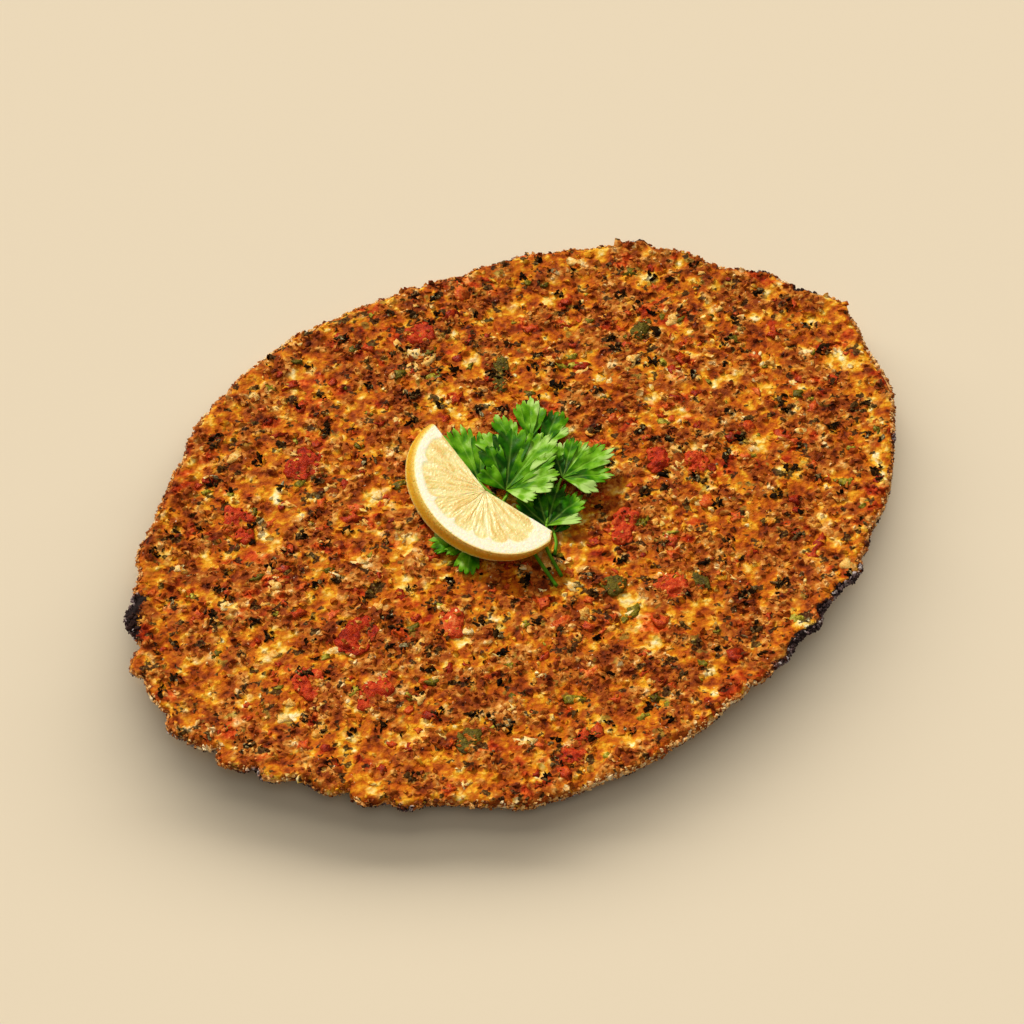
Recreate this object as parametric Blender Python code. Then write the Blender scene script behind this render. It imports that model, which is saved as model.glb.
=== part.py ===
"""A lahmacun: a thin oval flatbread spread with spiced mince, with half a slice of lemon and parsley on it.

Frame: +Z is up, the flat underside lies on z = 0, the oval's long axis runs along X, and the origin is the
centre of the oval's box on the underside. All sizes are in metres, written as multiples of MM.

Pieces, each a closed solid of its own:
  bread                 the rolled dough, with a flat underside and an edge that curls up
  mince_topping         the spread, with pockets where larger pieces of vegetable lie in it
  tomato_piece_1 ...    diced tomato as large as berries
  pepper_piece_1 ...    strips of green pepper
  lemon_half_slice      rind, pith and flesh in one piece
  parsley_sprig_1 ...   stems with their leaf blades, lying on the spread and partly under the lemon
"""

import math

import bmesh
import bpy
from mathutils import Matrix, Vector, noise
from mathutils.geometry import interpolate_bezier

MM = 0.001
TURN = 2 * math.pi

# The oval as rolled out by hand: an ellipse with a few slow waves, flatter stretches, and small scallops at
# one end.
HALF_LENGTH = 145 * MM
HALF_WIDTH = 108 * MM
ROLLING_WAVES = (  # waves round the rim, depth, direction of one crest in degrees
    (3, 2.1 * MM, 2),
    (4, 0.9 * MM, 0),
    (5, 1.1 * MM, 35),
    (6, 1.5 * MM, -3),
    (8, 0.7 * MM, -2),
)
RIM_FLATS = (  # direction and half-width in degrees, and how far in the rim lies there
    (10, 4, 3.2 * MM),
    (21, 9, 5.2 * MM),
    (48, 9, 2.2 * MM),
    (225, 7, 1.6 * MM),
    (304, 6, 1.4 * MM),
    (318, 6, 1.8 * MM),
    (338, 7, 2.2 * MM),
    (354, 5, 3.2 * MM),
)
SCALLOP_DEPTH = 0.8 * MM
SCALLOP_TURN = math.radians(5.6)
SCALLOPED_FROM = math.radians(162)
SCALLOPED_TO = math.radians(218)
SECTOR_TURN = math.radians(4.4)
FINE_SECTOR_TURN = SCALLOP_TURN / 4

# The dough's section.
BREAD_THICKNESS = 2.4 * MM
RIM_THICKNESS = 3.0 * MM
LIP_INSET = 1.5 * MM
HEEL_INSET = 6 * MM
CURL_REACH = 24 * MM
CURL_LEAST = 1.0 * MM
CURL_MOST = 3.2 * MM
CURL_CRESTS = (170, 300, 10)  # directions in degrees where the edge has curled up most
CURL_CREST_REACH = math.radians(70)

# The spread on the dough.
CLEARANCE = 0.3 * MM
BARE_RIM = 2.6 * MM
BARE_RIM_CHANGE = 0.7 * MM
SPREAD_THICKNESS = 2.0 * MM
SPREAD_EDGE = 0.9 * MM
SPREAD_GAP_AT_RIM = 0.2 * MM
SPREAD_SHOULDER = 1.0 * MM
LUMP_HEIGHT = 0.5 * MM
LUMP_SPACING = 13 * MM
SPREAD_RINGS = (9, 18, 30, 45, 62, 82)  # inset of each ring of lumps from the rim, in MM

# Vegetables set in the spread: x, y, length, width in MM, and turn in degrees.
TOMATO_PLACES = (
    (-55, 56, 16, 12, 10),
    (-87, 47, 14, 11, 60),
    (-78, -15, 17, 12, 20),
    (-100, -21, 13, 11, 100),
    (-85, -37, 13, 10, 35),
    (-49, -27, 13, 9, 50),
    (23, -28, 14, 11, 15),
    (50, -11, 12, 9, 70),
    (60, -20, 11, 8, 30),
    (-40, -92, 15, 9, 30),
    (9, 82, 13, 10, 45),
    (22, -57, 12, 11, 80),
)
PEPPER_PLACES = (
    (24, 51, 17, 6, 55),
    (78, 40, 13, 6, 25),
    (-69, -69, 10, 8, 40),
    (6, -45, 9, 8, 15),
    (31, -61, 9, 7, 75),
)
PIECE_HALF_HEIGHT = 1.0 * MM
PIECE_PROUD = 0.1 * MM
PIECE_SQUARENESS = 0.8  # 1 is round
PIECE_DENT = 0.13
POCKET_CLEARANCE = 0.4 * MM

# The lemon: half of a slice. Its frame has the core at (0, 0), X along the cut and Y out to the rind.
LEMON_HALF_LENGTH = 32.3 * MM
LEMON_HALF_WIDTH = 24.4 * MM
LEMON_MIDDLE = (1.5 * MM, -3.6 * MM)
LEMON_OVAL_TURN = math.radians(-10)
LEMON_ARC = (math.radians(9), math.radians(195))
LEMON_THICKNESS = 8.6 * MM
LEMON_LEAN = 4.6 * MM  # how far along the cut the underside lies from the face
LEMON_BULGE = 0.03
LEMON_EDGE_ROUND = 0.6 * MM
LEMON_PLACE = (-12.6 * MM, 4.7 * MM)
LEMON_TURN = math.radians(97.8)
LEMON_UNDERSIDE = 7.4 * MM
ARC_STEPS = 24
CUT_STEPS = 4

# Parsley.
STEM_RADIUS = 0.6 * MM
STEM_SIDES = 6
STEM_STEPS = 4
BLADE_THICKNESS = 0.5 * MM
BLADE_STEPS = 3
BLADE_RAYS_PER_LOBE = 4
BLADE_NOTCH = 0.62  # length at a notch, as a share of the lobe's length
OUTER_LOBES_SHORTER = 0.5

# Each sprig has stems, as places in MM from the cut end on, and blades: base in MM, heading in degrees,
# reach in MM, half the fan's angle in degrees, lobes, and the rise and droop at the tips in MM.
FORK = (-8.3, 0.7, 9.5)
LOW_FORK = (-0.3, -14.3, 8.0)
LEFT_LEAF = (-24.0, -4.4, 6.1)
SPRIGS = (
    (
        (
            (
                (-11.0, -36.1, 6.1),
                (-9.8, -21.3, 6.1),
                (-8.0, -10.3, 6.2),
                (-7.6, -3.3, 7.4),
                FORK,
                (-5.8, 2.0, 10.2),
            ),
            (FORK, (-8.9, 7.0, 8.2), (-9.0, 13.3, 6.6), (-8.2, 17.0, 6.5)),
            (FORK, (-4.0, 4.0, 8.6), (1.2, 7.7, 8.0), (3.5, 10.5, 8.1)),
        ),
        (
            ((-8.3, 0.7, 9.7), 22, 31, 62, 5, 7.0, 2.0),
            ((-9.1, 13.0, 6.5), 74, 28, 26, 3, 1.0, 0.8),
            ((1.2, 7.4, 8.0), 42, 36, 36, 4, 2.4, 1.0),
        ),
    ),
    (
        (
            ((-7.3, -33.7, 6.1), (-5.3, -22.3, 6.1), (-3.3, -18.3, 6.5), LOW_FORK, (1.6, -12.4, 8.3)),
            (LOW_FORK, (6.0, -9.3, 9.4), (11.6, -4.0, 11.0), (13.4, -2.6, 11.3)),
        ),
        (
            (LOW_FORK, 20, 21, 54, 5, 1.2, 1.0),
            ((12.0, -3.6, 11.1), -12, 22, 62, 5, 3.0, 2.2),
        ),
    ),
    (
        (((-4.1, -30.1, 6.1), (-1.0, -21.5, 6.1), (0.7, -17.3, 6.1), (0.9, -15.6, 6.05)),),
        (((0.7, -17.5, 6.0), 86, 15, 30, 3, 0.2, 0.2),),
    ),
    (
        (((-15.5, -9.5, 6.1), (-20.0, -6.5, 6.1), (-23.8, -4.3, 6.1), (-25.4, -4.6, 6.1)),),
        (
            (LEFT_LEAF, 161, 15, 26, 2, 0.4, 0.2),
            (LEFT_LEAF, 230, 16, 26, 2, 0.4, 0.2),
        ),
    ),
)


def angle_between(a, b):
    """The unsigned angle between two directions, in radians."""
    return abs((a - b + math.pi) % TURN - math.pi)


# ---------------------------------------------------------------- the oval


def rim_radius(angle):
    """Distance from the ellipse's own centre to the rim."""
    across = math.hypot(HALF_WIDTH * math.cos(angle), HALF_LENGTH * math.sin(angle))
    radius = HALF_LENGTH * HALF_WIDTH / across
    for waves, depth, crest in ROLLING_WAVES:
        radius += depth * math.cos(waves * (angle - math.radians(crest)))
    for middle, half_width, depth in RIM_FLATS:
        away = (math.degrees(angle) - middle + 180) % 360 - 180
        radius -= depth * math.exp(-((away / half_width) ** 2))
    share = (angle - SCALLOPED_FROM) / (SCALLOPED_TO - SCALLOPED_FROM)
    if 0 < share < 1:
        scallop = math.sin(TURN * (angle - SCALLOPED_FROM) / SCALLOP_TURN)
        radius += SCALLOP_DEPTH * math.sin(math.pi * share) * scallop
    return radius


def sector_angles():
    """Directions of the outline's corners, closer together where the rim is scalloped."""
    fine = round((SCALLOPED_TO - SCALLOPED_FROM) / FINE_SECTOR_TURN)
    plain = round((TURN - SCALLOPED_TO + SCALLOPED_FROM) / SECTOR_TURN)
    scalloped = [SCALLOPED_FROM + (SCALLOPED_TO - SCALLOPED_FROM) * k / fine for k in range(fine)]
    rest = [SCALLOPED_TO + (TURN - SCALLOPED_TO + SCALLOPED_FROM) * k / plain for k in range(plain)]
    return scalloped + rest


def box_centre():
    """Centre of the rim's box, so that the origin can be put there."""
    rim = [(rim_radius(a) * math.cos(a), rim_radius(a) * math.sin(a)) for a in SECTORS]
    return tuple((max(side) + min(side)) / 2 for side in zip(*rim))


SECTORS = sector_angles()
CENTRE_X, CENTRE_Y = box_centre()


def curl(angle, inset):
    """How far the dough is lifted at this inset from the rim."""
    if inset >= CURL_REACH:
        return 0.0
    nearest = min(angle_between(angle, math.radians(crest)) for crest in CURL_CRESTS)
    share = min(nearest / CURL_CREST_REACH, 1.0)
    at_rim = CURL_LEAST + (CURL_MOST - CURL_LEAST) * math.cos(share * math.pi / 2) ** 2
    return at_rim * (1 - inset / CURL_REACH) ** 2


def bare_rim(angle):
    """Width of the dough's edge that the spread leaves bare."""
    return BARE_RIM + BARE_RIM_CHANGE * math.sin(5 * angle + 1) * math.cos(3 * angle)


def ring(inset_of, height_of):
    """One closed ring of points. inset_of and height_of are numbers or functions of the angle."""
    points = []
    for angle in SECTORS:
        inset = inset_of(angle) if callable(inset_of) else inset_of
        height = height_of(angle) if callable(height_of) else height_of
        radius = rim_radius(angle) - inset
        x = radius * math.cos(angle) - CENTRE_X
        y = radius * math.sin(angle) - CENTRE_Y
        points.append(Vector((x, y, height + curl(angle, max(inset, 0.0)))))
    return points


# ---------------------------------------------------------------- mesh helpers


def material(name, colour, roughness):
    made = bpy.data.materials.new(name)
    made.use_nodes = True
    shader = made.node_tree.nodes["Principled BSDF"]
    shader.inputs["Base Color"].default_value = (*colour, 1)
    shader.inputs["Roughness"].default_value = roughness
    shader.inputs["Metallic"].default_value = 0
    return made


def add_object(name, bm, surface, smooth_below=35):
    """Closes a bmesh into an object, shaded smooth except at edges sharper than smooth_below degrees."""
    bmesh.ops.recalc_face_normals(bm, faces=bm.faces)
    mesh = bpy.data.meshes.new(name)
    bm.to_mesh(mesh)
    bm.free()
    mesh.materials.append(surface)
    mesh.shade_smooth()
    mesh.set_sharp_from_angle(angle=math.radians(smooth_below))
    made = bpy.data.objects.new(name, mesh)
    bpy.context.scene.collection.objects.link(made)
    return made


def loft(rings, first_cap="flat", last_cap="flat"):
    """A closed skin over rings of equal length. A cap is one flat face, or a fan round a peak point."""
    bm = bmesh.new()
    loops = [[bm.verts.new(p) for p in points] for points in rings]
    for low, high in zip(loops, loops[1:]):
        for k in range(len(low)):
            j = (k + 1) % len(low)
            bm.faces.new((low[k], low[j], high[j], high[k]))
    for loop, cap in ((loops[0], first_cap), (loops[-1], last_cap)):
        if cap == "flat":
            bm.faces.new(loop)
            continue
        peak = bm.verts.new(cap)
        for k in range(len(loop)):
            bm.faces.new((loop[k], loop[(k + 1) % len(loop)], peak))
    return bm


def as_helper(helper):
    """Keeps a cutter or a joined part out of the result."""
    helper.hide_render = True
    helper.display_type = "WIRE"
    return helper


def boolean(target, other, operation):
    made = target.modifiers.new(f"{operation.lower()}_{other.name}", "BOOLEAN")
    made.operation = operation
    made.object = as_helper(other)
    made.solver = "EXACT"


# ---------------------------------------------------------------- bread and spread


def make_bread(surface):
    """Flat underside, a rounded edge that curls up, and a flat bed for the spread."""
    bm = loft(
        [
            ring(CURL_REACH, 0.0),
            ring(HEEL_INSET, 0.0),
            ring(LIP_INSET, 0.15 * RIM_THICKNESS),
            ring(0.0, 0.5 * RIM_THICKNESS),
            ring(LIP_INSET, RIM_THICKNESS),
            ring(bare_rim, BREAD_THICKNESS),
            ring(CURL_REACH, BREAD_THICKNESS),
        ]
    )
    return add_object("bread", bm, surface)


def spread_height(x, y):
    """Height of the spread's top over the dough's bed, with its slow lumps."""
    place = Vector((x / LUMP_SPACING, y / LUMP_SPACING, 0.5))
    return SPREAD_THICKNESS + LUMP_HEIGHT * noise.noise(place)


def lumpy_ring(inset, bed):
    points = ring(inset, bed)
    for p in points:
        p.z += spread_height(p.x, p.y)
    return points


def make_spread(surface):
    """The mince, following the bread's bed below and lumpy on top, thin at its border."""
    bed = BREAD_THICKNESS + CLEARANCE
    border = ring(lambda angle: bare_rim(angle) + SPREAD_GAP_AT_RIM, bed)
    shoulder = ring(lambda angle: bare_rim(angle) + SPREAD_SHOULDER, bed + SPREAD_EDGE)
    rings = [ring(CURL_REACH, bed), border, shoulder]
    rings += [lumpy_ring(inset * MM, bed) for inset in SPREAD_RINGS]
    middle = Vector((0, 0, bed + spread_height(0, 0)))
    return add_object("mince_topping", loft(rings, "flat", middle), surface, 60)


def chunk(name, place, grow, seed, surface):
    """A diced piece: a ball squared up, flattened and dented. With grow it is its own pocket's cutter."""
    x, y, length, width, turn = place
    bm = bmesh.new()
    bmesh.ops.create_icosphere(bm, subdivisions=2, radius=1)
    half = Vector((length / 2 * MM, width / 2 * MM, PIECE_HALF_HEIGHT))
    for v in bm.verts:
        dent = 1 + PIECE_DENT * noise.noise(v.co * 1.3 + Vector((seed, 0, 0)))
        squared = Vector([math.copysign(abs(c) ** PIECE_SQUARENESS, c) for c in v.co])
        v.co = Vector([squared[k] * dent * half[k] + grow * squared[k] for k in range(3)])
    made = add_object(name, bm, surface, 80)
    bed = BREAD_THICKNESS + CLEARANCE
    made.location = (x * MM, y * MM, bed + spread_height(x * MM, y * MM) + PIECE_PROUD)
    made.rotation_euler = (0, 0, math.radians(turn))
    return made


def set_in_spread(spread, kind, places, surface, first_seed):
    """Lays each diced piece in a pocket cut a little larger than the piece."""
    for k, place in enumerate(places, start=1):
        seed = first_seed + 3.7 * k
        chunk(f"{kind}_piece_{k}", place, 0.0, seed, surface)
        pocket = chunk(f"{kind}_pocket_{k}", place, POCKET_CLEARANCE, seed, surface)
        boolean(spread, pocket, "DIFFERENCE")


# ---------------------------------------------------------------- lemon


def lemon_outline():
    """Corners of the half slice: round the rind's arc, then along the cut, a little bent at the core."""
    middle = Vector(LEMON_MIDDLE)
    start, end = LEMON_ARC
    turned = Matrix.Rotation(LEMON_OVAL_TURN, 2)
    corners = []
    for k in range(ARC_STEPS + 1):
        turn = start + (end - start) * k / ARC_STEPS
        on_oval = Vector((LEMON_HALF_LENGTH * math.cos(turn), LEMON_HALF_WIDTH * math.sin(turn)))
        corners.append(middle + turned @ on_oval)
    first, last = corners[0], corners[-1]
    corners += [last * (1 - k / CUT_STEPS) for k in range(1, CUT_STEPS)]
    corners += [first * (k / CUT_STEPS) for k in range(CUT_STEPS)]
    return corners


def lemon_ring(depth, inset):
    """The outline at a depth below the face. The rind swells out below the face and leans along the cut."""
    share = depth / LEMON_THICKNESS
    swell = 1 + LEMON_BULGE * math.sin(math.pi * share * 0.8) - inset / LEMON_HALF_LENGTH
    middle = Vector(LEMON_MIDDLE)
    lean = Vector((LEMON_LEAN * share, 0))
    places = [middle + lean + swell * (corner - middle) for corner in lemon_outline()]
    return [Vector((*place, -depth)) for place in places]


def make_lemon(surface):
    t = LEMON_THICKNESS
    rings = [
        lemon_ring(0.0, LEMON_EDGE_ROUND),
        lemon_ring(LEMON_EDGE_ROUND, 0.0),
        lemon_ring(0.35 * t, 0.0),
        lemon_ring(0.65 * t, 0.0),
        lemon_ring(t - LEMON_EDGE_ROUND, 0.0),
        lemon_ring(t, LEMON_EDGE_ROUND),
    ]
    lemon = add_object("lemon_half_slice", loft(rings), surface)
    lemon.location = (*LEMON_PLACE, LEMON_UNDERSIDE + LEMON_THICKNESS)
    lemon.rotation_euler = (0, 0, LEMON_TURN)
    return lemon


# ---------------------------------------------------------------- parsley


def blade(name, base, heading, reach, spread, lobes, rise, droop, surface):
    """A fan-shaped leaf blade with rounded lobes, shorter towards the sides of the fan."""
    bm = bmesh.new()
    root = bm.verts.new(Vector(base) * MM)
    rows = []
    rays = lobes * BLADE_RAYS_PER_LOBE
    for i in range(rays + 1):
        across = 2 * i / rays - 1
        within = (i / BLADE_RAYS_PER_LOBE) % 1
        lobe = BLADE_NOTCH + (1 - BLADE_NOTCH) * math.sin(math.pi * within) ** 0.7
        length = reach * lobe * (1 - OUTER_LOBES_SHORTER * across**2)
        turn = math.radians(heading + spread * across)
        row = []
        for j in range(1, BLADE_STEPS + 1):
            out = j / BLADE_STEPS
            away = length * out
            share = away / reach
            lift = rise * share - droop * share**2
            step = Vector((away * math.cos(turn), away * math.sin(turn), lift))
            row.append(bm.verts.new((Vector(base) + step) * MM))
        rows.append(row)
    for a, b in zip(rows, rows[1:]):
        bm.faces.new((root, a[0], b[0]))
        for j in range(BLADE_STEPS - 1):
            bm.faces.new((a[j], a[j + 1], b[j + 1], b[j]))
    made = add_object(name, bm, surface, 80)
    thick = made.modifiers.new("thickness", "SOLIDIFY")
    thick.thickness = BLADE_THICKNESS
    thick.offset = 0
    return made


def stem(name, places, surface):
    """A round stem through places in MM, with closed ends."""
    points = [Vector(p) * MM for p in places]
    route = [points[0]]
    for k in range(len(points) - 1):
        before = points[max(k - 1, 0)]
        after = points[min(k + 2, len(points) - 1)]
        leave = points[k] + (points[k + 1] - before) / 6
        arrive = points[k + 1] - (after - points[k]) / 6
        route += interpolate_bezier(points[k], leave, arrive, points[k + 1], STEM_STEPS)[1:]
    rings = []
    for k, p in enumerate(route):
        along = (route[min(k + 1, len(route) - 1)] - route[max(k - 1, 0)]).normalized()
        side = along.cross(Vector((0, 0, 1))).normalized()
        over = side.cross(along)
        turns = [TURN * s / STEM_SIDES for s in range(STEM_SIDES)]
        rings.append([p + STEM_RADIUS * (math.cos(t) * side + math.sin(t) * over) for t in turns])
    return add_object(name, loft(rings), surface, 70)


def sprig(name, stems, blades, surface):
    """One sprig as one solid: its first stem, with the other stalks and the blades joined to it."""
    whole = stem(name, stems[0], surface)
    parts = [stem(f"{name}_stalk_{k}", s, surface) for k, s in enumerate(stems[1:], start=1)]
    parts += [blade(f"{name}_blade_{k}", *b, surface) for k, b in enumerate(blades, start=1)]
    for part in parts:
        boolean(whole, part, "UNION")
    return whole


def make_parsley(surface):
    """The sprigs point their leaves to the upper right. The last one's leaves lie left of the lemon."""
    for k, (stems, blades) in enumerate(SPRIGS, start=1):
        sprig(f"parsley_sprig_{k}", stems, blades, surface)


def clear_scene():
    for old in list(bpy.data.objects):
        bpy.data.objects.remove(old)


def main():
    clear_scene()
    make_bread(material("baked_dough", (0.80, 0.52, 0.22), 0.7))
    spread = make_spread(material("spiced_mince", (0.50, 0.19, 0.05), 0.5))
    set_in_spread(spread, "tomato", TOMATO_PLACES, material("cooked_tomato", (0.62, 0.09, 0.03), 0.35), 10)
    set_in_spread(spread, "pepper", PEPPER_PLACES, material("green_pepper", (0.22, 0.22, 0.04), 0.4), 90)
    make_lemon(material("lemon", (0.93, 0.72, 0.30), 0.45))
    make_parsley(material("parsley", (0.08, 0.30, 0.03), 0.5))


main()
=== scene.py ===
# %% [markdown]
# # A lahmacun with lemon and parsley
#
# A lahmacun is a flatbread rolled as thin as a coin, spread to its very edge with raw spiced mince, and baked
# for a few minutes in a fierce oven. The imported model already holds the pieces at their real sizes. This
# lesson gives each of them its looks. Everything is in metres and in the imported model's own frame, so a place
# read from the model can be used as it is.

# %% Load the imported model
import math

import bmesh
import bpy
import numpy as np
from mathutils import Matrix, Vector, noise
from mathutils.geometry import interpolate_bezier


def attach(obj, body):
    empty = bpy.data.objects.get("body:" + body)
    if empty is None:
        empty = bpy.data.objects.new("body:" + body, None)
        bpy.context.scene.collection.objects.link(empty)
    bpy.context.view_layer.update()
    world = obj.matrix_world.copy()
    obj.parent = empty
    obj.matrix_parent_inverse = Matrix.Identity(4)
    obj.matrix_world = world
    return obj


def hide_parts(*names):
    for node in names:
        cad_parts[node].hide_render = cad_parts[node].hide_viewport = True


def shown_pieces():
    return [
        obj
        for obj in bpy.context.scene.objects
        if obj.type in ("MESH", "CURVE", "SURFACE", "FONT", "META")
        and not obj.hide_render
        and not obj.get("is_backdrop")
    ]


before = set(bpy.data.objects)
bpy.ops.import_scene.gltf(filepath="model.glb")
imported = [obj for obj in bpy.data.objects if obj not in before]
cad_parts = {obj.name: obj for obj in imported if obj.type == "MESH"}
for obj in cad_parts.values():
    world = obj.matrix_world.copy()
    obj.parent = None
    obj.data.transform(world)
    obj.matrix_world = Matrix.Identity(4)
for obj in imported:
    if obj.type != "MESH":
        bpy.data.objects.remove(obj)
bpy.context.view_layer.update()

MM = 0.001
TURN = 2 * math.pi


# %% [markdown]
# ## Uneven by rule
#
# Nothing on a baked flatbread repeats, but a script should give the same bread every time. So the unevenness
# comes from noise: a function of place that wanders between -1 and 1. One noise makes soft hills, and another
# scatters points and tells how near the nearest one is, which is what grains of mince look like from above.

# %% Noise in the plane
def chance(i, j, seed):
    """A fixed number from -1 to 1 for each whole-numbered place."""
    mixed = (i * 374761393 + j * 668265263 + seed * 974634777) & 0xFFFFFFFF
    mixed = ((mixed ^ (mixed >> 13)) * 1274126177) & 0xFFFFFFFF
    return ((mixed ^ (mixed >> 16)) & 0xFFFF) / 0x7FFF - 1


def hills(x, y, size, seed):
    """Soft hills and hollows, about `size` from one to the next."""
    gx, gy = np.asarray(x) / size, np.asarray(y) / size
    i, j = np.floor(gx).astype(np.int64), np.floor(gy).astype(np.int64)
    sx, sy = gx - i, gy - j
    sx, sy = sx * sx * (3 - 2 * sx), sy * sy * (3 - 2 * sy)
    near = chance(i, j, seed) * (1 - sx) + chance(i + 1, j, seed) * sx
    far = chance(i, j + 1, seed) * (1 - sx) + chance(i + 1, j + 1, seed) * sx
    return near * (1 - sy) + far * sy


def turned(x, y, angle):
    """A place in the plan, turned about the origin."""
    c, s = math.cos(angle), math.sin(angle)
    return c * x - s * y, s * x + c * y


def rough(x, y, size, seed, layers=3):
    """Hills with smaller hills on them. Each layer is turned, so that no grid shows."""
    total, weight = 0.0, 0.0
    for layer in range(layers):
        share = 0.55**layer
        total = total + share * hills(*turned(x, y, 0.7 + 1.1 * layer), size * 0.5**layer, seed + 31 * layer)
        weight += share
    return total / weight


def grains(x, y, size, seed):
    """How far the nearest scattered point is, as a share of `size`, and a number from -1 to 1 that it owns."""
    gx, gy = x / size, y / size
    i0, j0 = np.floor(gx).astype(np.int64), np.floor(gy).astype(np.int64)
    nearest = np.full(np.shape(gx), 9.0)
    own = np.zeros(np.shape(gx))
    for i in (i0 - 1, i0, i0 + 1):
        for j in (j0 - 1, j0, j0 + 1):
            away = np.hypot(i + 0.5 + 0.42 * chance(i, j, seed) - gx, j + 0.5 + 0.42 * chance(i, j, seed + 1) - gy)
            closer = away < nearest
            nearest = np.where(closer, away, nearest)
            own = np.where(closer, chance(i, j, seed + 2), own)
    return nearest, own


def ease(value, low, high):
    """0 below low, 1 above high, and an S curve between."""
    share = np.clip((value - low) / (high - low), 0, 1)
    return share * share * (3 - 2 * share)


line = np.linspace(0, 0.1, 500)
sample = hills(line, line, 5 * MM, 1)
print("hills run from", sample.min().round(2), "to", sample.max().round(2))


# %% [markdown]
# ## The rim, read from the solid bread
#
# The looks have to lie where the solid lies, so the outline is measured rather than drawn again. The solid's
# faces don't share points, so each place holds several, one for each face that meets there. The rim is where
# faces that look up meet faces that look down. Sorted by direction, those places give the distance to the rim
# and its height all the way round.

# %% Measure the rim
leaning = {}
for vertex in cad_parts["bread"].data.vertices:
    leaning.setdefault(tuple(round(value, 6) for value in vertex.co), []).append(vertex.normal.z)
rim = sorted(
    (math.atan2(y, x) % TURN, math.hypot(x, y), z)
    for (x, y, z), tilts in leaning.items()
    if min(tilts) < -0.3 and max(tilts) > 0.3
)
rim_turn, rim_reach, rim_height = (np.array(column) for column in zip(*rim))
print(len(rim), "rim points, reach", round(rim_reach.min() / MM), "to", round(rim_reach.max() / MM), "mm")
print("rim height", (rim_height.min() / MM).round(1), "to", (rim_height.max() / MM).round(1), "mm")


# %% [markdown]
# The real edge is torn and blistered in a finer way than the solid shows. On the left the dough was pinched
# into bumps, each listed with its direction, half-width in degrees and height in millimetres. Small noise
# tears the rest.

# %% The finer edge
FINE_TEAR = 0.42 * MM
PINCHED = math.radians(186)
PINCH_WIDTH = math.radians(30)
NOISE_CIRCLE = 0.13
BUMPS = ((138, 2, -0.9), (152.5, 2, 1), (156, 2.6, 2.6), (162.4, 1.3, 0.7), (164.4, 0.8, -0.7), (166.4, 2.6, 3.4),
         (170.8, 1.2, -1.6), (173.6, 2.2, 2.6), (178, 2, 2.2), (185, 3, 4.7), (188.8, 1.8, 4.4), (193.8, 2.6, 4.8),
         (199.2, 2.2, 3.5), (206.6, 2.3, 2.6), (212.4, 2.6, 3.2), (218.5, 2.4, 2.2), (236, 4, 1.6), (244, 4, 0.6),
         (256, 5, 1), (268, 5, 0.8), (278, 2, 0.8), (284.5, 2.4, 1.5), (289.4, 3, 2), (298.6, 2.6, 1.9),
         (311, 3, 2.3), (316, 2, 0.6), (333, 13, 0.9), (355, 7, -1.2), (4, 3, 1.2), (14.5, 2, 1.8), (9.6, 1.7, -1.6),
         (22, 3.2, -1.9), (32, 2.2, -1.1), (37, 3, 1.4), (44.5, 2.2, -1), (56, 2.2, 1.1), (68, 2.2, -1.1),
         (80, 2, 1.6), (96, 2.2, -0.9), (104, 2, 1), (130, 6, 0.6))
# How far the edge stands back from the solid's rim between bumps, in millimetres: everywhere, more in the
# pinch, and more at one end of the bread than at the other.
SET_BACK, PINCH_BACK, RIGHT_BACK = 1.2, 1.3, 0.6


def plan_place(angle, reach):
    """The place in this direction from the origin and at this distance."""
    return reach * np.cos(angle), reach * np.sin(angle)


def around(angle, size, seed):
    """Noise along the rim, the same after a full turn. size is its spacing on a circle as wide as the bread."""
    return hills(*plan_place(angle, NOISE_CIRCLE), size, seed)


def away_from(angle, degrees):
    """How many degrees a direction is from another one."""
    return np.abs((np.degrees(angle) - degrees + 180) % 360 - 180)


def edge_reach(angle):
    """Distance from the origin to the edge of the bread."""
    angle = np.asarray(angle) % TURN
    plain = np.interp(angle, rim_turn, rim_reach, period=TURN)
    bumps = 0.0
    for middle, half_width, height in BUMPS:
        bumps = bumps + height * np.clip(1 - (away_from(angle, middle) / half_width) ** 2, 0, 1) ** 0.7
    pinch = np.exp(-((angle - PINCHED) / PINCH_WIDTH) ** 2)
    tear = around(angle, 7 * MM, 5) + 0.6 * around(angle, 3.1 * MM, 6) + 0.5 * around(angle, 1.5 * MM, 7)
    stand_back = SET_BACK + PINCH_BACK * pinch + RIGHT_BACK * np.cos(angle)
    return plain + FINE_TEAR * (1 + pinch) * tear + (bumps - stand_back) * MM


test_turn = np.linspace(0, TURN, 9)[:-1]
print("edge at eight directions, mm:", (edge_reach(test_turn) / MM).round(1))


# %% [markdown]
# Two things are asked again and again: how far in from the edge a place lies, and how far the curled rim lifts
# it. The curl is read from the height of the solid's rim and dies away inwards, as it does in thin dough that
# dries at its edge first.

# %% How far in, and how far up
CURL_REACH = 24 * MM
FLAT_RIM = 1.5 * MM


def from_edge(x, y):
    """The direction of a place in the plan, and how far in from the edge it lies."""
    angle = np.arctan2(y, x)
    return angle, edge_reach(angle) - np.hypot(x, y)


def edge_lift(angle):
    """How far the rim's middle has curled up, above where flat dough would have it."""
    return np.interp(np.asarray(angle) % TURN, rim_turn, rim_height, period=TURN) - FLAT_RIM


def curl(angle, inset):
    """How far the curl lifts the bread at this distance in from the edge."""
    return edge_lift(angle) * np.clip(1 - np.maximum(inset, 0) / CURL_REACH, 0, 1) ** 2


print("the rim is lifted by up to", (edge_lift(test_turn).max() / MM).round(1), "mm")


# %% [markdown]
# ## Shader arithmetic
#
# A material in Blender is a net of nodes. Drawn as sums, it reads far better: `Wire` wraps one output, and
# `+`, `-` and `*` between wires and numbers add the Math nodes that do the sum. Colours are mixed with
# `blend`, because a Math node would turn a colour grey. Every other node comes from the one method `node`.

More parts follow.
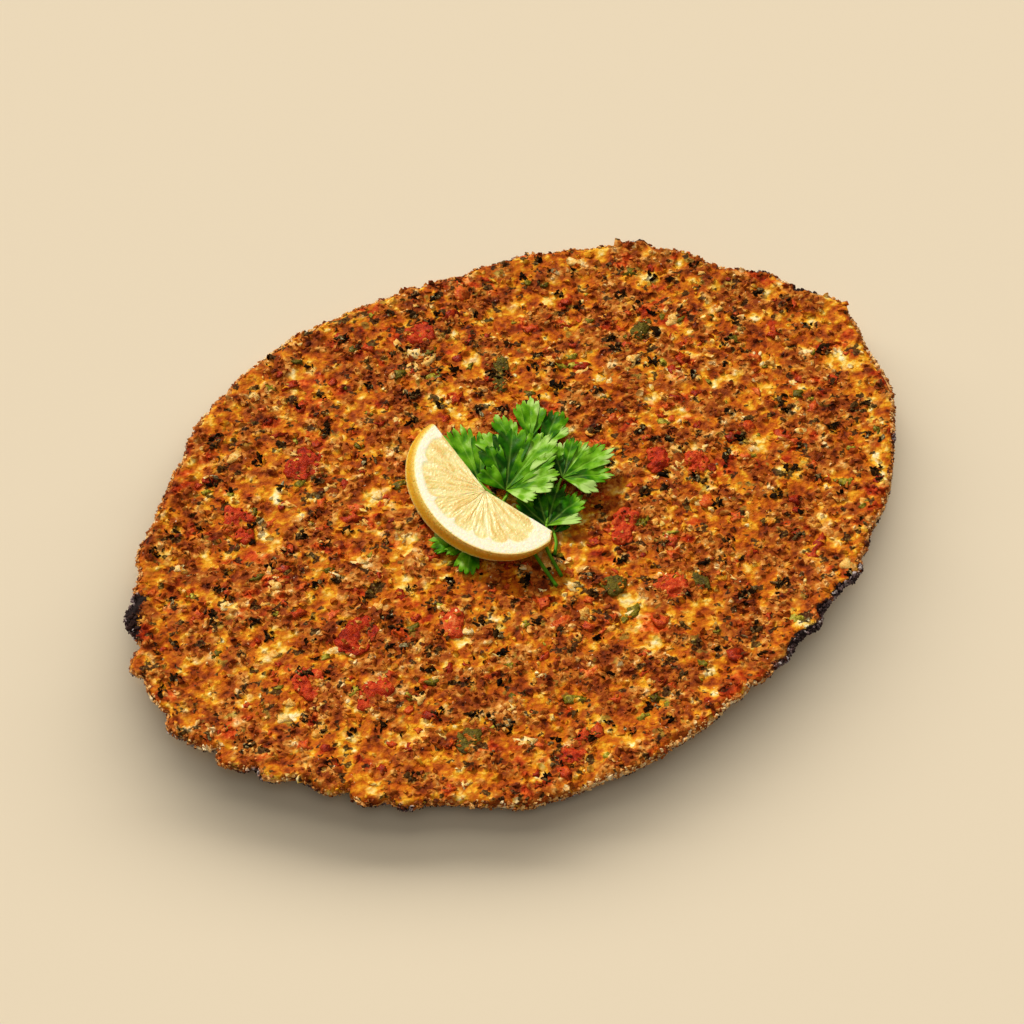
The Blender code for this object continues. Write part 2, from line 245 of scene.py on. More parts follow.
# %% A wire that can be added and multiplied
class Wire:
    """One output of a material's net of nodes."""

    def __init__(self, tree, socket):
        self.tree = tree
        self.socket = socket

    def node(self, kind, settings=None, inputs=None, output=0):
        """Adds a node: its settings first, then values or wires into its sockets. Gives one output."""
        made = self.tree.nodes.new(kind)
        for key, value in (settings or {}).items():
            if key == "stops":
                fill_ramp(made.color_ramp, value)
            else:
                setattr(made, key, value)
        for key, value in (inputs or {}).items():
            if isinstance(value, Wire):
                self.tree.links.new(value.socket, made.inputs[key])
            else:
                made.inputs[key].default_value = value
        return Wire(self.tree, made.outputs[output])

    def math(self, operation, *values):
        """One sum: a Math node with these values or wires."""
        return self.node("ShaderNodeMath", {"operation": operation}, dict(enumerate(values)))

    def __add__(self, other):
        return self.math("ADD", self, other)

    def __sub__(self, other):
        return self.math("SUBTRACT", self, other)

    def __mul__(self, other):
        return self.math("MULTIPLY", self, other)

    def __rsub__(self, other):
        return self.math("SUBTRACT", other, self)

    __radd__ = __add__
    __rmul__ = __mul__

    def between(self, low, high):
        """0 where the wire is at low, 1 where it is at high, held outside."""
        settings = {"interpolation_type": "SMOOTHSTEP"}
        return self.node("ShaderNodeMapRange", settings, {"Value": self, "From Min": low, "From Max": high})

    def blend(self, first, second):
        """Mixes two colours: the first where the wire is 0, the second where it is 1."""
        settings = {"data_type": "RGBA", "clamp_factor": True}
        return self.node("ShaderNodeMix", settings, {0: self, 6: first, 7: second}, 2)

    def ramp(self, *stops):
        """A colour for each value. A stop is a value from 0 to 1, then red, green and blue as seen on a screen."""
        return self.node("ShaderNodeValToRGB", {"stops": stops}, {0: self})

    def spread(self, gain):
        """Pushes a value away from the middle, 0.5, to use more of a ramp."""
        return (self - 0.5) * gain + 0.5

    def cloud(self, size, detail=3.0, roughness=0.55, seed=0.0):
        """Noise from 0 to 1 round this place, in lumps about `size` metres across."""
        settings = {"noise_dimensions": "4D"}
        inputs = {"Vector": self, "W": seed, "Scale": 1 / size, "Detail": detail, "Roughness": roughness}
        return self.node("ShaderNodeTexNoise", settings, inputs)

    def cells(self, size, output=0):
        """Scattered cells about `size` metres across: the distance to each one's middle, or its own colour."""
        return self.node("ShaderNodeTexVoronoi", None, {"Vector": self, "Scale": 1 / size}, output)

    def drawn(self, turn, by):
        """The same place squeezed along one direction in the plan, so that noise read there is drawn out."""
        inputs = {"Vector": self, "Rotation": (0, 0, turn), "Scale": (by, 1, 1)}
        return self.node("ShaderNodeMapping", {"vector_type": "TEXTURE"}, inputs)

    def shaken(self, size, amount):
        """The same place pushed about by noise, so that what is read there gets crooked edges."""
        coarse = self.node("ShaderNodeTexNoise", None, {"Vector": self, "Scale": 1 / size, "Detail": 1.0}, 1)
        settings = {"operation": "MULTIPLY_ADD"}
        return self.node("ShaderNodeVectorMath", settings, {0: coarse, 1: (amount,) * 3, 2: self})

    def bump(self, depth):
        """A normal that is tilted as if this wire were a height, `depth` metres from 0 to 1."""
        return self.node("ShaderNodeBump", None, {"Height": self, "Distance": depth, "Strength": 1.0})


# %% [markdown]
# A colour is given as it looks on a screen and turned into linear light. `new_finish` makes a material and
# hands back the wire that everything starts from: the place on the surface. `stored` reads a number kept on
# the mesh's points, and `feed` links the finished wires to the shader.

# %% Colours and finishes
def fill_ramp(ramp, stops):
    """Sets the colours of a ramp. It starts with two elements, and the rest are added."""
    while len(ramp.elements) < len(stops):
        ramp.elements.new(1.0)
    for element, (place, *colour) in zip(ramp.elements, stops):
        element.position = place
        element.color = paint(*colour)


def paint(red, green, blue):
    """A colour as seen on a screen, 0 to 255, in the linear light that shaders use."""
    seen = [value / 255 for value in (red, green, blue)]
    return (*[v / 12.92 if v <= 0.04045 else ((v + 0.055) / 1.055) ** 2.4 for v in seen], 1.0)


def new_finish(name, **constants):
    """A material, its shader, and a wire that carries the place on the surface in metres."""
    made = bpy.data.materials.new(name)
    made.use_nodes = True
    shader = made.node_tree.nodes["Principled BSDF"]
    for key, value in constants.items():
        shader.inputs[key.replace("_", " ")].default_value = value
    coordinates = made.node_tree.nodes.new("ShaderNodeTexCoord")
    return made, shader, Wire(made.node_tree, coordinates.outputs["Object"])


def feed(shader, **wires):
    """Links wires to the shader's sockets: Base_Color=..., Roughness=..., Normal=..."""
    for key, wire in wires.items():
        wire.tree.links.new(wire.socket, shader.inputs[key.replace("_", " ")])


def stored(place, name):
    """A number stored on the mesh's points."""
    return place.node("ShaderNodeAttribute", {"attribute_name": name}, None, 2)


print("mid grey on screen is", round(paint(128, 128, 128)[0], 3), "in linear light")


# %% [markdown]
# ## Pieces
#
# Every piece is a mesh whose points are already in the frame, with numbers stored on the points for its
# material to read. It rides on the only body, `root`, and the solids it stands for are hidden.

# %% Make a piece from points and faces
def in_scene(name, data):
    """A new object with this data, linked into the scene."""
    made = bpy.data.objects.new(name, data)
    bpy.context.scene.collection.objects.link(made)
    return made


def add_piece(name, points, faces, finish, slot, stands_for=(), **numbers):
    """Makes the mesh and its numbers, puts it on its body, and hides the solids it stands for."""
    mesh = bpy.data.meshes.new(name)
    if isinstance(faces, np.ndarray):
        faces = faces.tolist()
    mesh.from_pydata(np.asarray(points).tolist(), [], faces)
    for key, values in numbers.items():
        layer = mesh.attributes.new(key, "FLOAT", "POINT")
        layer.data.foreach_set("value", np.asarray(values, dtype=np.float32))
    mesh.materials.append(finish)
    mesh.shade_smooth()
    mesh.validate()
    piece = in_scene(name, mesh)
    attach(piece, "root")
    if stands_for:
        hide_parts(*stands_for)
    mesh.calc_loop_triangles()
    print(f"{name}: {len(mesh.loop_triangles)} triangles")
    return piece


def nodes_called(start):
    """The solids whose names start like this."""
    return [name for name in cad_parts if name.startswith(start)]


print("tomato solids:", len(nodes_called("tomato")), "pepper solids:", len(nodes_called("pepper")))


# %% [markdown]
# ## Burns round the rim
#
# The oven's floor and its fire burn the edge in patches: a purple-black blister on the left, dark tips on the
# pinched scallops, and a long black band at the front right. Everywhere else the thin lip is only browned, and
# here and there it stays the pale cream of raw dough. Burns are kept as a list of directions, widths and
# strengths, softened with noise.

# %% Burnt and pale stretches of the rim
BURNT = ((166, 3.8, 1.15, 5.6), (172.5, 2.2, 0.75, 3.4), (185, 3, 0.45, 1.6), (197, 3, 0.4, 1.6), (207, 4, 0.4, 1.6),
         (217, 4, 0.45, 1.6), (228, 6, 0.3, 1.4), (262, 6, 0.3, 1.4), (288, 4, 0.9, 2.2), (295, 6, 1.2, 2.4),
         (304, 6, 1.2, 2.5), (310, 3, 0.9, 2.4), (338, 4, 0.5, 1.6), (9, 3, 0.9, 2.4), (15, 3, 1, 3), (36, 3, 0.6, 2),
         (58, 5, 0.4, 1.6), (104, 4, 0.35, 1.6), (130, 12, 0.35, 1.6))
PALE = ((120, 26, 0.8, 6), (152, 8, 0.5, 6), (180, 8, 0.8, 14), (192, 8, 0.9, 18), (203, 8, 0.9, 16), (238, 9, 1, 12),
        (252, 8, 0.9, 12), (264, 6, 0.8, 10), (276, 8, 1.15, 14), (326, 6, 0.6, 8), (348, 9, 0.8, 10), (14, 8, 1, 16),
        (35, 8, 0.6, 10), (84, 8, 0.6, 6))


def stretches(angle, inset, along_rim):
    """How strongly a place lies in any of the stretches. Each has its middle and half-width in degrees, its
    strength, and how many millimetres it reaches in."""
    total = 0.0
    for middle, width, strength, depth in along_rim:
        here = np.exp(-((away_from(angle, middle) / width) ** 2) - (np.maximum(inset, 0) / (depth * MM)) ** 2)
        total = np.maximum(total, strength * here)
    return total


def char_at(angle, inset):
    """How burnt the bread is: strongest at its very edge."""
    broken = 0.75 + 0.6 * around(angle, 4 * MM, 81) + 0.4 * around(angle, 1.6 * MM, 82)
    return np.clip(stretches(angle, inset, BURNT) * broken, 0, 1)


def pale_at(angle, inset):
    """How pale the bread stayed."""
    return np.clip(stretches(angle, inset, PALE) * (0.8 + 0.7 * around(angle, 6 * MM, 91)), 0, 1)


print("burnt stretches:", len(BURNT), "pale stretches:", len(PALE))


# %% [markdown]
# ## Where the mince clumps and where the oil pools
#
# Baked mince isn't one layer. Meat draws together into brown clumps a little under a centimetre wide, and
# orange oil and golden, half-crusted dough fill the gaps. Spreading has drawn everything out a little, in one
# direction. Three maps say how much meat, gold and red of tomato there is at a place. The relief, the colours
# and the loose crumbs all read the same maps, so that they agree.

# %% Maps of the topping
DRAWN_OUT = 1.15
DRAWN_TURN = math.radians(-18)
CLUMP = 6.4 * MM
GOLD_PATCH = 8.4 * MM
RED_PATCH = 10 * MM


def drawn(x, y):
    """Places with the direction of spreading as their first axis, squeezed along it."""
    along, across = turned(x, y, -DRAWN_TURN)
    return along / DRAWN_OUT, across


def meat_at(x, y):
    """Clumps of meat."""
    return ease(rough(*drawn(x, y), CLUMP, 11), -0.16, 0.12)


def pale_of(x, y):
    """How pale the rim nearby stayed, at a place in the plan."""
    return pale_at(*from_edge(x, y))


def gold_at(x, y):
    """Golden patches, with more of them where the rim stayed pale."""
    patch = rough(*drawn(x, y), GOLD_PATCH, 23) + 0.36 * pale_of(x, y)
    return ease(patch, 0.14, 0.42) * (1 - 0.5 * meat_at(x, y))


def red_at(x, y):
    """Patches reddened by tomato."""
    return ease(rough(*drawn(x, y), RED_PATCH, 37), 0.1, 0.4)


def burnt_of(x, y):
    """How burnt the bread is at a place in the plan."""
    return char_at(*from_edge(x, y))


def maps_at(points):
    """The three maps at each point, under the names that the materials read."""
    x, y = points.T[:2]
    return {"meat": meat_at(x, y), "gold": gold_at(x, y), "red": red_at(x, y)}


px, py = np.meshgrid(np.linspace(-0.1, 0.1, 300), np.linspace(-0.07, 0.07, 200))
for title, share in (("meat", meat_at), ("gold", gold_at), ("red", red_at)):
    print(f"{title} covers {share(px, py).mean():.0%}")


# %% [markdown]
# ## The height of the topping
#
# The mince runs almost to the rim, where it thins out over a couple of millimetres. `ground` gives the height
# of the topping anywhere, so that crumbs, herbs and vegetables can be laid on it later.

# %% The height of the topping
BREAD_TOP = 2.2 * MM
SPREAD_DEPTH = 2.35 * MM
SHOULDER = 2.4 * MM
BLACK_BAND = ((290, 8, 0.6, 99), (303, 8, 0.6, 99), (349, 5, 1.2, 99), (164, 3, 1.2, 99))


def bare_rim(angle):
    """How far in from the edge the mince stops."""
    wander = around(angle, 16 * MM, 41) + 0.8 * around(angle, 5 * MM, 42)
    return MM * (0.45 + 0.4 * wander + 0.8 * stretches(angle, 0.0, BLACK_BAND)).clip(0.15)


def ground(x, y):
    """Height of the topping at a place in the plan."""
    angle, inset = from_edge(x, y)
    full = np.clip((inset - bare_rim(angle)) / SHOULDER, 0, 1) ** 0.5
    meat = meat_at(x, y)
    grain, own = grains(x / 1.3, y, 1.9 * MM, 51)
    lumps = 0.32 * rough(x, y, 14 * MM, 61, 2) + 0.36 * (meat - 0.5)
    crumble = meat * (0.62 * (0.5 - grain) + 0.16 * own)
    ripple = 0.34 * rough(*drawn(x, y), 3.4 * MM, 71)
    relief = SPREAD_DEPTH + MM * (lumps + crumble + ripple - 0.25 * gold_at(x, y))
    return BREAD_TOP + curl(angle, inset) + relief * full - 0.35 * MM * (full == 0)


heights = ground(px, py)
print("topping height", (heights.min() / MM).round(1), "to", (heights.max() / MM).round(1), "mm")


# %% [markdown]
# ## The bread
#
# The crust is a thin plate whose edge is rolled over. Its profile is a list of insets from the edge with a
# height at each, in millimetres, taken round the rim in about a thousand steps: out along the underside,
# round the lip and back over the top, where it closes under the mince. Low blisters lift the underside, which
# shows when the bread is turned over.

# %% Shape the bread
RIM_STEPS = 1080
FLAT_INSET = 24 * MM
BLISTER_LIFT = 0.5 * MM
PROFILE = ((24, 0), (15, 0), (10, 0), (6, 0), (4, 0.05), (2.4, 0.2), (1.5, 0.42), (0.8, 0.72), (0.3, 1.1), (0, 1.5),
           (0.05, 1.85), (0.25, 2.15), (0.6, 2.4), (1.1, 2.45), (1.8, 2.35), (2.7, 2.2), (3.6, 2.1), (6, 2.0))
turns = np.linspace(0, TURN, RIM_STEPS, endpoint=False)
rim_reach_here = edge_reach(turns)
rings, inset_of, under_of = [], [], []


def add_ring(reach, height, inset, under):
    """One more ring of the bread: its distance out and its height, how far in it lies and whether it is below."""
    rings.append(np.stack([*plan_place(turns, reach), height + 0 * turns], 1))
    inset_of.append(inset)
    under_of.append(under)


for share in (0.25, 0.5, 0.75):
    add_ring(share * (rim_reach_here - FLAT_INSET), 0, rim_reach_here * (1 - share), 1.0)
for inset, height in PROFILE:
    inset = inset * MM + 0 * turns
    puff = 0.25 * MM * around(turns, 4 * MM, 95) * (height > 0.5)
    reach = rim_reach_here - inset - 0.3 * np.abs(puff)
    add_ring(reach, height * MM + curl(turns, inset) + puff, inset, float(height < 1.6))
for share in (0.6, 0.2):
    add_ring(share * rim_reach_here, BREAD_TOP, rim_reach_here * (1 - share), 0.0)
bread_points = np.concatenate(rings)
bread_inset = np.concatenate(inset_of)
bread_under = np.repeat(under_of, RIM_STEPS)
blister = ease(rough(*bread_points.T[:2], 17 * MM, 97), 0.25, 0.6)
bread_points[:, 2] += BLISTER_LIFT * blister * (bread_inset > 5 * MM) * bread_under

around_ids = np.arange(RIM_STEPS)
next_ids = (around_ids + 1) % RIM_STEPS
bread_faces = []
for ring in range(len(rings) - 1):
    low, high = ring * RIM_STEPS, (ring + 1) * RIM_STEPS
    bread_faces += np.stack([high + next_ids, high + around_ids, low + around_ids, low + next_ids], 1).tolist()
last = (len(rings) - 1) * RIM_STEPS
bread_faces += [around_ids[::-1].tolist(), (last + around_ids).tolist()]
print("bread points:", len(bread_points))


# %% [markdown]
# The dough is cream where the fire missed it, gold where it browned and black where it burnt, with a painted
# grey sheen on the palest of the black. The browning is spotted, because thin dough blisters and only the tops
# of the blisters touch the heat, so the colour steps through noise instead of fading evenly.

# %% Finish of the baked dough
CREAM = (244, 217, 165)
GOLDEN = (214, 142, 62)
TOAST = (140, 72, 26)
BLACK_CRUST = (32, 21, 22)
dough, dough_shader, spot = new_finish("baked_dough", Roughness=0.6)
char, pale, under = stored(spot, "char"), stored(spot, "pale"), stored(spot, "under")
mottle = spot.cloud(3.2 * MM, 5, 0.62)
speckle = spot.cloud(0.9 * MM, 4, 0.6, 3)
toasted = (mottle * 0.7 + speckle * 0.3).ramp((0.36, *TOAST), (0.46, *GOLDEN), (0.58, 232, 176, 96), (0.72, *CREAM))
pale_dough = speckle.ramp((0.3, 224, 160, 104), (0.5, *CREAM), (0.7, 252, 236, 200))
leopard = spot.cloud(8 * MM, 4, 0.5, 8)
underside = leopard.ramp((0.4, *CREAM), (0.54, 226, 184, 120), (0.62, 172, 104, 46), (0.72, 84, 46, 24))
top_colour = (pale * (mottle + 0.35)).between(0.3, 0.62).blend(toasted, pale_dough)
crust_colour = under.blend(top_colour, underside)
burn = (char * 1.5 + speckle * 0.9 - 0.62).between(0.12, 0.42)
# The blackened dough's ramp ends in pale pinkish greys, a painted sheen on the char.
char_with_painted_sheen = spot.cloud(1.1 * MM, 3, 0.6, 5).ramp(
    (0.34, *BLACK_CRUST), (0.46, 58, 38, 42), (0.56, 92, 68, 70), (0.67, 162, 144, 144))
feed(dough_shader, Base_Color=burn.blend(crust_colour, char_with_painted_sheen), Roughness=0.75 - burn * 0.3,
     Normal=(speckle + mottle * 2).bump(0.5 * MM))
bread_angle = np.arctan2(bread_points[:, 1], bread_points[:, 0])
# low_lip makes the underside of the lip darker near the edge, through the same number as the burns.
low_lip = ease(bread_inset, 2 * MM, 0.6 * MM) * bread_under * (0.75 + 0.5 * around(bread_angle, 7 * MM, 83))
add_piece("bread_crust", bread_points, bread_faces, dough, "baked_dough", ["bread"],
          char=np.maximum(char_at(bread_angle, bread_inset), low_lip), pale=pale_at(bread_angle, bread_inset),
          under=bread_under)


# %% [markdown]
# ## The spread of mince
#
# The layer that carries everything is one closed skin. A square grid pressed into a disc keeps its cells
# nearly even, where rings and spokes would crowd in the middle. The disc is then pulled out to the rim and
# each point is lifted to the topping's height. A skirt closes it into the bread.

# %% Shape the spread
GRID = 308
SKIRT_IN = 0.985
SKIRT_DROP = 0.8 * MM


def round_grid(count):
    """A square grid pressed into a disc: how far out each point is, from 0 to 1, and in which direction."""
    line = np.linspace(-1, 1, count)
    a, b = np.meshgrid(line, line, indexing="ij")
    wide = np.abs(a) >= np.abs(b)
    out = np.maximum(np.abs(a), np.abs(b))
    safe = np.where(out == 0, 1, np.where(wide, a, b))
    eighth = math.pi / 4 * np.where(wide, b, a) / safe
    direction = np.where(wide, eighth + math.pi * (a < 0), math.pi / 2 - eighth + math.pi * (b < 0))
    return out.ravel(), direction.ravel()


def grid_faces(rows, columns):
    """The four-sided faces of a grid of points stored row by row."""
    ids = np.arange(rows * columns).reshape(rows, columns)
    return np.stack([ids[:-1, :-1], ids[1:, :-1], ids[1:, 1:], ids[:-1, 1:]], -1).reshape(-1, 4)


out, direction = round_grid(GRID)
reach = edge_reach(direction) - 0.7 * bare_rim(direction)
spread_x, spread_y = plan_place(direction, out * reach)
spread_points = np.stack([spread_x, spread_y, ground(spread_x, spread_y)], 1)
ids = np.arange(GRID * GRID).reshape(GRID, GRID)
border_ids = np.concatenate([ids[:-1, 0], ids[-1, :-1], ids[:0:-1, -1], ids[0, :0:-1]])
skirt = spread_points[border_ids] * (SKIRT_IN, SKIRT_IN, 1) - (0, 0, SKIRT_DROP)
spread_points = np.concatenate([spread_points, skirt, [(0, 0, BREAD_TOP)]])
border_next = np.roll(border_ids, -1)
skirt_ids = GRID * GRID + np.arange(len(border_ids))
skirt_next = np.roll(skirt_ids, -1)
spread_faces = grid_faces(GRID, GRID).tolist()
spread_faces += np.stack([border_ids, skirt_ids, skirt_next, border_next], 1).tolist()
spread_faces += [(low, len(spread_points) - 1, high) for low, high in zip(skirt_ids.tolist(), skirt_next.tolist())]
print("spread points:", len(spread_points))


# %% [markdown]
# The finish of the spread changes every millimetre, and most of what the eye takes for meat is colour. Noise
# at four sizes, from clumps down to grains, is added up into one brightness, which picks a colour from a ramp
# that runs from burnt brown through orange to gold and cream. Three such ramps, for oil, for meat and for
# tomato, are mixed by the maps, and dark specks of herb and small painted glints lie on top. Each grain is
# darker towards its edge, which is painted shade in the gaps between grains. Noise is read at squeezed places,
# which draws the spots out the way they lie. The same sum also colours the loose crumbs, so that they belong
# to the spread they lie on.

# %% Colour of the topping
def topping_colour(spot, lighter, meat, gold, red):
    """The colour at a place, with its brightness. lighter, meat, gold and red shift it: wires or numbers."""
    flow = spot.drawn(DRAWN_TURN, DRAWN_OUT)
    broad, middle = flow.cloud(5.8 * MM, 2, 0.5), flow.cloud(3.0 * MM, 2, 0.5, 2)
    small, tiny = flow.cloud(1.6 * MM, 2, 0.5, 4), spot.cloud(0.75 * MM, 2, 0.5, 6)
    crooked = flow.shaken(1.3 * MM, 1.1 * MM)
    # painted_gap_shade is the distance from each grain's middle. Subtracting it paints shade in the gaps between
    # grains.
    grain, painted_gap_shade = crooked.cells(1.9 * MM, 1), crooked.cells(1.9 * MM)
    calm = 1 - gold * 0.3
    fine = (grain * 0.22 - painted_gap_shade * 0.18 + small * 0.36 + tiny * 0.13 - 0.28) * calm
    bright = broad * 1.08 + middle * 1.0 - 0.535 + fine + gold * 0.16 - meat * 0.02 + lighter
    amber = bright.ramp(
        (0.06, 78, 24, 4), (0.22, 138, 52, 6), (0.38, 186, 86, 14), (0.54, 210, 118, 14), (0.69, 238, 174, 36),
        (0.82, 252, 218, 116), (0.94, 255, 242, 192))
    meaty = bright.ramp(
        (0.06, 58, 16, 4), (0.24, 120, 46, 8), (0.42, 160, 74, 18), (0.58, 193, 112, 34), (0.75, 228, 166, 84),
        (0.94, 254, 226, 168))
    rosy = bright.ramp(
        (0.08, 74, 8, 1), (0.3, 144, 32, 3), (0.5, 194, 62, 10), (0.68, 228, 104, 32), (0.88, 248, 168, 92))
    browned = (meat * 0.6 + flow.cloud(3.4 * MM, 2, 0.5, 8).spread(2.2) - 0.3).between(0.2, 0.8).blend(amber, meaty)
    reddened = (red * 0.5 + flow.cloud(5 * MM, 2, 0.5, 9).spread(2.2) - 0.66).between(0.2, 0.65).blend(browned, rosy)
    speck = (crooked.cloud(3.1 * MM, 2, 0.5, 11).spread(1.6) + broad * 0.5 - gold * 0.2 - 0.25).between(0.65, 0.72)
    cooked_green = flow.cloud(4.6 * MM, 2, 0.5, 14).spread(2).between(0.78, 0.92)
    greened = (cooked_green * 0.7).blend(reddened, bright.ramp((0.2, 76, 60, 10), (0.8, 180, 160, 66)))
    leafy = tiny.spread(2).ramp((0.3, 18, 8, 3), (0.6, 50, 30, 9), (0.85, 122, 108, 50))
    # Painted glints: small near-white highlights laid over the topping's colour.
    painted_glint = (tiny + small * 0.5 + meat * 0.04).between(1.01, 1.08)
    mixed = (speck * 0.9).blend(greened, leafy)
    return (painted_glint * 0.8).blend(mixed, paint(255, 244, 214)), bright, fine


# %% [markdown]
# The spread feeds that sum with the maps stored on its points, and turns black where the rim is burnt. The
# brightness also tilts the surface a little, so that the grains catch the light.

# %% Finish of the spiced mince
mince, mince_shader, spot = new_finish("spiced_mince", Roughness=0.45, Specular_IOR_Level=0.08)
meat, gold, red, sooty = (stored(spot, name) for name in ("meat", "gold", "red", "char"))
colour, bright, fine = topping_colour(spot, 0, meat, gold, red)
burnt_colour = (sooty * 1.4 + spot.cloud(0.6 * MM) - 0.6).between(0.2, 0.5).blend(colour, paint(*BLACK_CRUST))
feed(mince_shader, Base_Color=burnt_colour, Roughness=0.6 - fine * 0.5,
     Normal=(bright * 0.8 + fine * 1.2).bump(0.9 * MM))
add_piece("mince_spread", spread_points, spread_faces, mince, "spiced_mince", ["mince_topping"],
          char=0.9 * burnt_of(*spread_points.T[:2]), **maps_at(spread_points))


# %% [markdown]
# ## Loose bits
#
# Crumbs, flakes of herb and chopped vegetables are real small solids. Each kind is one mesh. A few base shapes
# are made by pushing the points of a small ball about with noise.

# %% Base shapes
def unit_ball(detail):
    """Points and three-sided faces of a ball of radius 1."""
    ball = bmesh.new()
    bmesh.ops.create_icosphere(ball, subdivisions=detail, radius=1)
    points = np.array([v.co for v in ball.verts])
    faces = np.array([[v.index for v in face.verts] for face in ball.faces])
    ball.free()
    return points, faces


def blocky(unit, squareness):
    """The ball's points moved towards those of a cube, more so the further squareness is above 1."""
    return np.sign(unit) * np.abs(unit) ** (1 / squareness)


def bit_shapes(detail, lumpiness, kinds, squareness=1.0, seed=0):
    """A few unit shapes: balls pushed about with noise."""
    unit, faces = unit_ball(detail)
    shapes = []
    for kind in range(kinds):
        shift = Vector((13.7 * kind + seed, 5.1 * kind, 9.2))
        push = np.array([noise.noise(Vector(p) * 1.7 + shift) for p in unit])
        shapes.append(blocky(unit, squareness) * (1 + lumpiness * push[:, None]))
    return np.array(shapes), faces


crumb_shapes, crumb_faces = bit_shapes(1, 1.3, 12)
print("crumb shape:", crumb_shapes.shape[1], "points,", len(crumb_faces), "faces")


# %% [markdown]
# Every bit is one of the base shapes, stretched to its own size, tipped, turned and laid on the topping. All
# the bits of a kind are worked out at once as arrays, which takes a fraction of a second where thousands of
# separate objects would take minutes.

# %% Lay bits on the topping
def spin(turn, tip, lean):
    """Rotations about X by tip, then Y by lean, then Z by turn, for many bits at once."""
    zero, one = np.zeros_like(turn), np.ones_like(turn)
    c, s = np.cos(tip), np.sin(tip)
    about_x = np.array([[one, zero, zero], [zero, c, -s], [zero, s, c]])
    c, s = np.cos(lean), np.sin(lean)
    about_y = np.array([[c, zero, s], [zero, one, zero], [-s, zero, c]])
    c, s = np.cos(turn), np.sin(turn)
    about_z = np.array([[c, -s, zero], [s, c, zero], [zero, zero, one]])
    return np.einsum("abn,bcn,cdn->nad", about_z, about_y, about_x)


def lay_bits(rng, shapes, faces, places, sizes, turn, tipping, sunk, height=None):
    """Points, faces and a tone for each point. places is n by 2, sizes is n by 3 half-sizes. tipping is how
    far the bits tip, in radians, and sunk the share of their height that lies below the topping."""
    count = len(places)
    kind = rng.integers(len(shapes), size=count)
    rotation = spin(turn, tipping * rng.standard_normal(count), tipping * rng.standard_normal(count))
    local = np.einsum("nij,nvj->nvi", rotation, shapes[kind] * sizes[:, None, :])
    if height is None:
        height = ground(places[:, 0], places[:, 1])
    height = height + sizes[:, 2] * (1 - 2 * sunk)
    points = local + np.column_stack([places, height])[:, None, :]
    all_faces = (faces[None] + (np.arange(count) * shapes.shape[1])[:, None, None]).reshape(-1, faces.shape[1])
    tone = np.repeat(rng.random(count), shapes.shape[1])
    return points.reshape(-1, 3), all_faces, tone


quarter = spin(*np.radians([[90], [0], [0]]))[0].round(3)
print("a quarter turn sends the first axis to", quarter[:, 0])


# %% [markdown]
# Chopped food lies evenly but not in rows. A square grid with every place shaken gives that, where fully random
# places would leave holes. Each kind of bit says how likely it is to be found at a place, and bits mostly point
# the way the mince was spread.

# %% Choose places and directions
FIELD = (0.15, 0.11)
SHAKE = 0.6


def well_inside(x, y, margin):
    """Whether a place lies on the mince, at least the margin from where it stops."""
    angle, inset = from_edge(x, y)
    return inset > bare_rim(angle) + margin


def sprinkle(rng, spacing, keep, margin=2.0 * MM):
    """Places on a shaken grid over the whole bread. keep(x, y) is the chance that a place is used."""
    gx, gy = np.meshgrid(*(np.arange(-half, half, spacing) for half in FIELD))
    x, y = ((grid + spacing * rng.uniform(-SHAKE, SHAKE, grid.shape)).ravel() for grid in (gx, gy))
    used = well_inside(x, y, margin) & (rng.random(len(x)) < keep(x, y))
    return np.column_stack([x[used], y[used]])


def drawn_turn(rng, count, loose):
    """Directions that mostly follow the spreading."""
    return loose * rng.standard_normal(count) + DRAWN_TURN


test_places = sprinkle(np.random.default_rng(1), 5 * MM, lambda x, y: 1)
print("places on the mince 5 mm apart:", len(test_places))


# %% [markdown]
# ## Mince crumbs
#
# Grains of baked mince are rough pellets one to two millimetres long, half sunk in the spread and crowded on
# its clumps of meat. They are left flat-shaded, because baked grains are crisp and their facets catch the light.

# %% Scatter the mince crumbs
def sizes_of(rng, count, length, width, height, spread):
    """Half-sizes around given full sizes in millimetres, each bit larger or smaller than the last."""
    scale = np.exp(spread * rng.standard_normal(count).clip(-2, 1.6))[:, None]
    shape = np.exp(0.15 * rng.standard_normal((count, 3)))
    return 0.5 * MM * np.array([length, width, height]) * scale * shape


def scatter(rng, shapes, faces, places, size, spread, loose, tipping, sunk, height=None):
    """Bits of about this size at each place, turned the way of the spreading but for a loose share."""
    sizes = sizes_of(rng, len(places), *size, spread)
    turn = drawn_turn(rng, len(places), loose)
    return lay_bits(rng, shapes, faces, places, sizes, turn, tipping, sunk, height)


CRUMB_SPACING = 1.85 * MM
CRUMB_SIZE = (1.85, 1.3, 1.1)
crumb, crumb_shader, spot = new_finish("mince_crumb", Roughness=0.4, Specular_IOR_Level=0.1)
tone, meat, gold, red, sooty = (stored(spot, name) for name in ("tone", "meat", "gold", "red", "char"))
colour, bright, fine = topping_colour(spot, tone * 0.36 - 0.16, meat, gold, red)
burnt_crumb = (sooty * 1.4 + tone * 0.5 - 0.35).between(0.2, 0.5).blend(colour, paint(48, 28, 26))
feed(crumb_shader, Base_Color=burnt_crumb, Roughness=0.6 - fine * 0.5, Normal=fine.bump(0.6 * MM))
rng = np.random.default_rng(7)
places = sprinkle(rng, CRUMB_SPACING, lambda x, y: 0.2 + 0.62 * meat_at(x, y) - 0.1 * gold_at(x, y), 0.4 * MM)
points, faces, tones = scatter(rng, crumb_shapes, crumb_faces, places, CRUMB_SIZE,
                               spread=0.34, loose=0.8, tipping=0.5, sunk=0.42)
add_piece("mince_crumbs", points, faces, crumb, "spiced_mince", tone=tones, char=burnt_of(*points.T[:2]),
          **maps_at(points)).data.shade_flat()
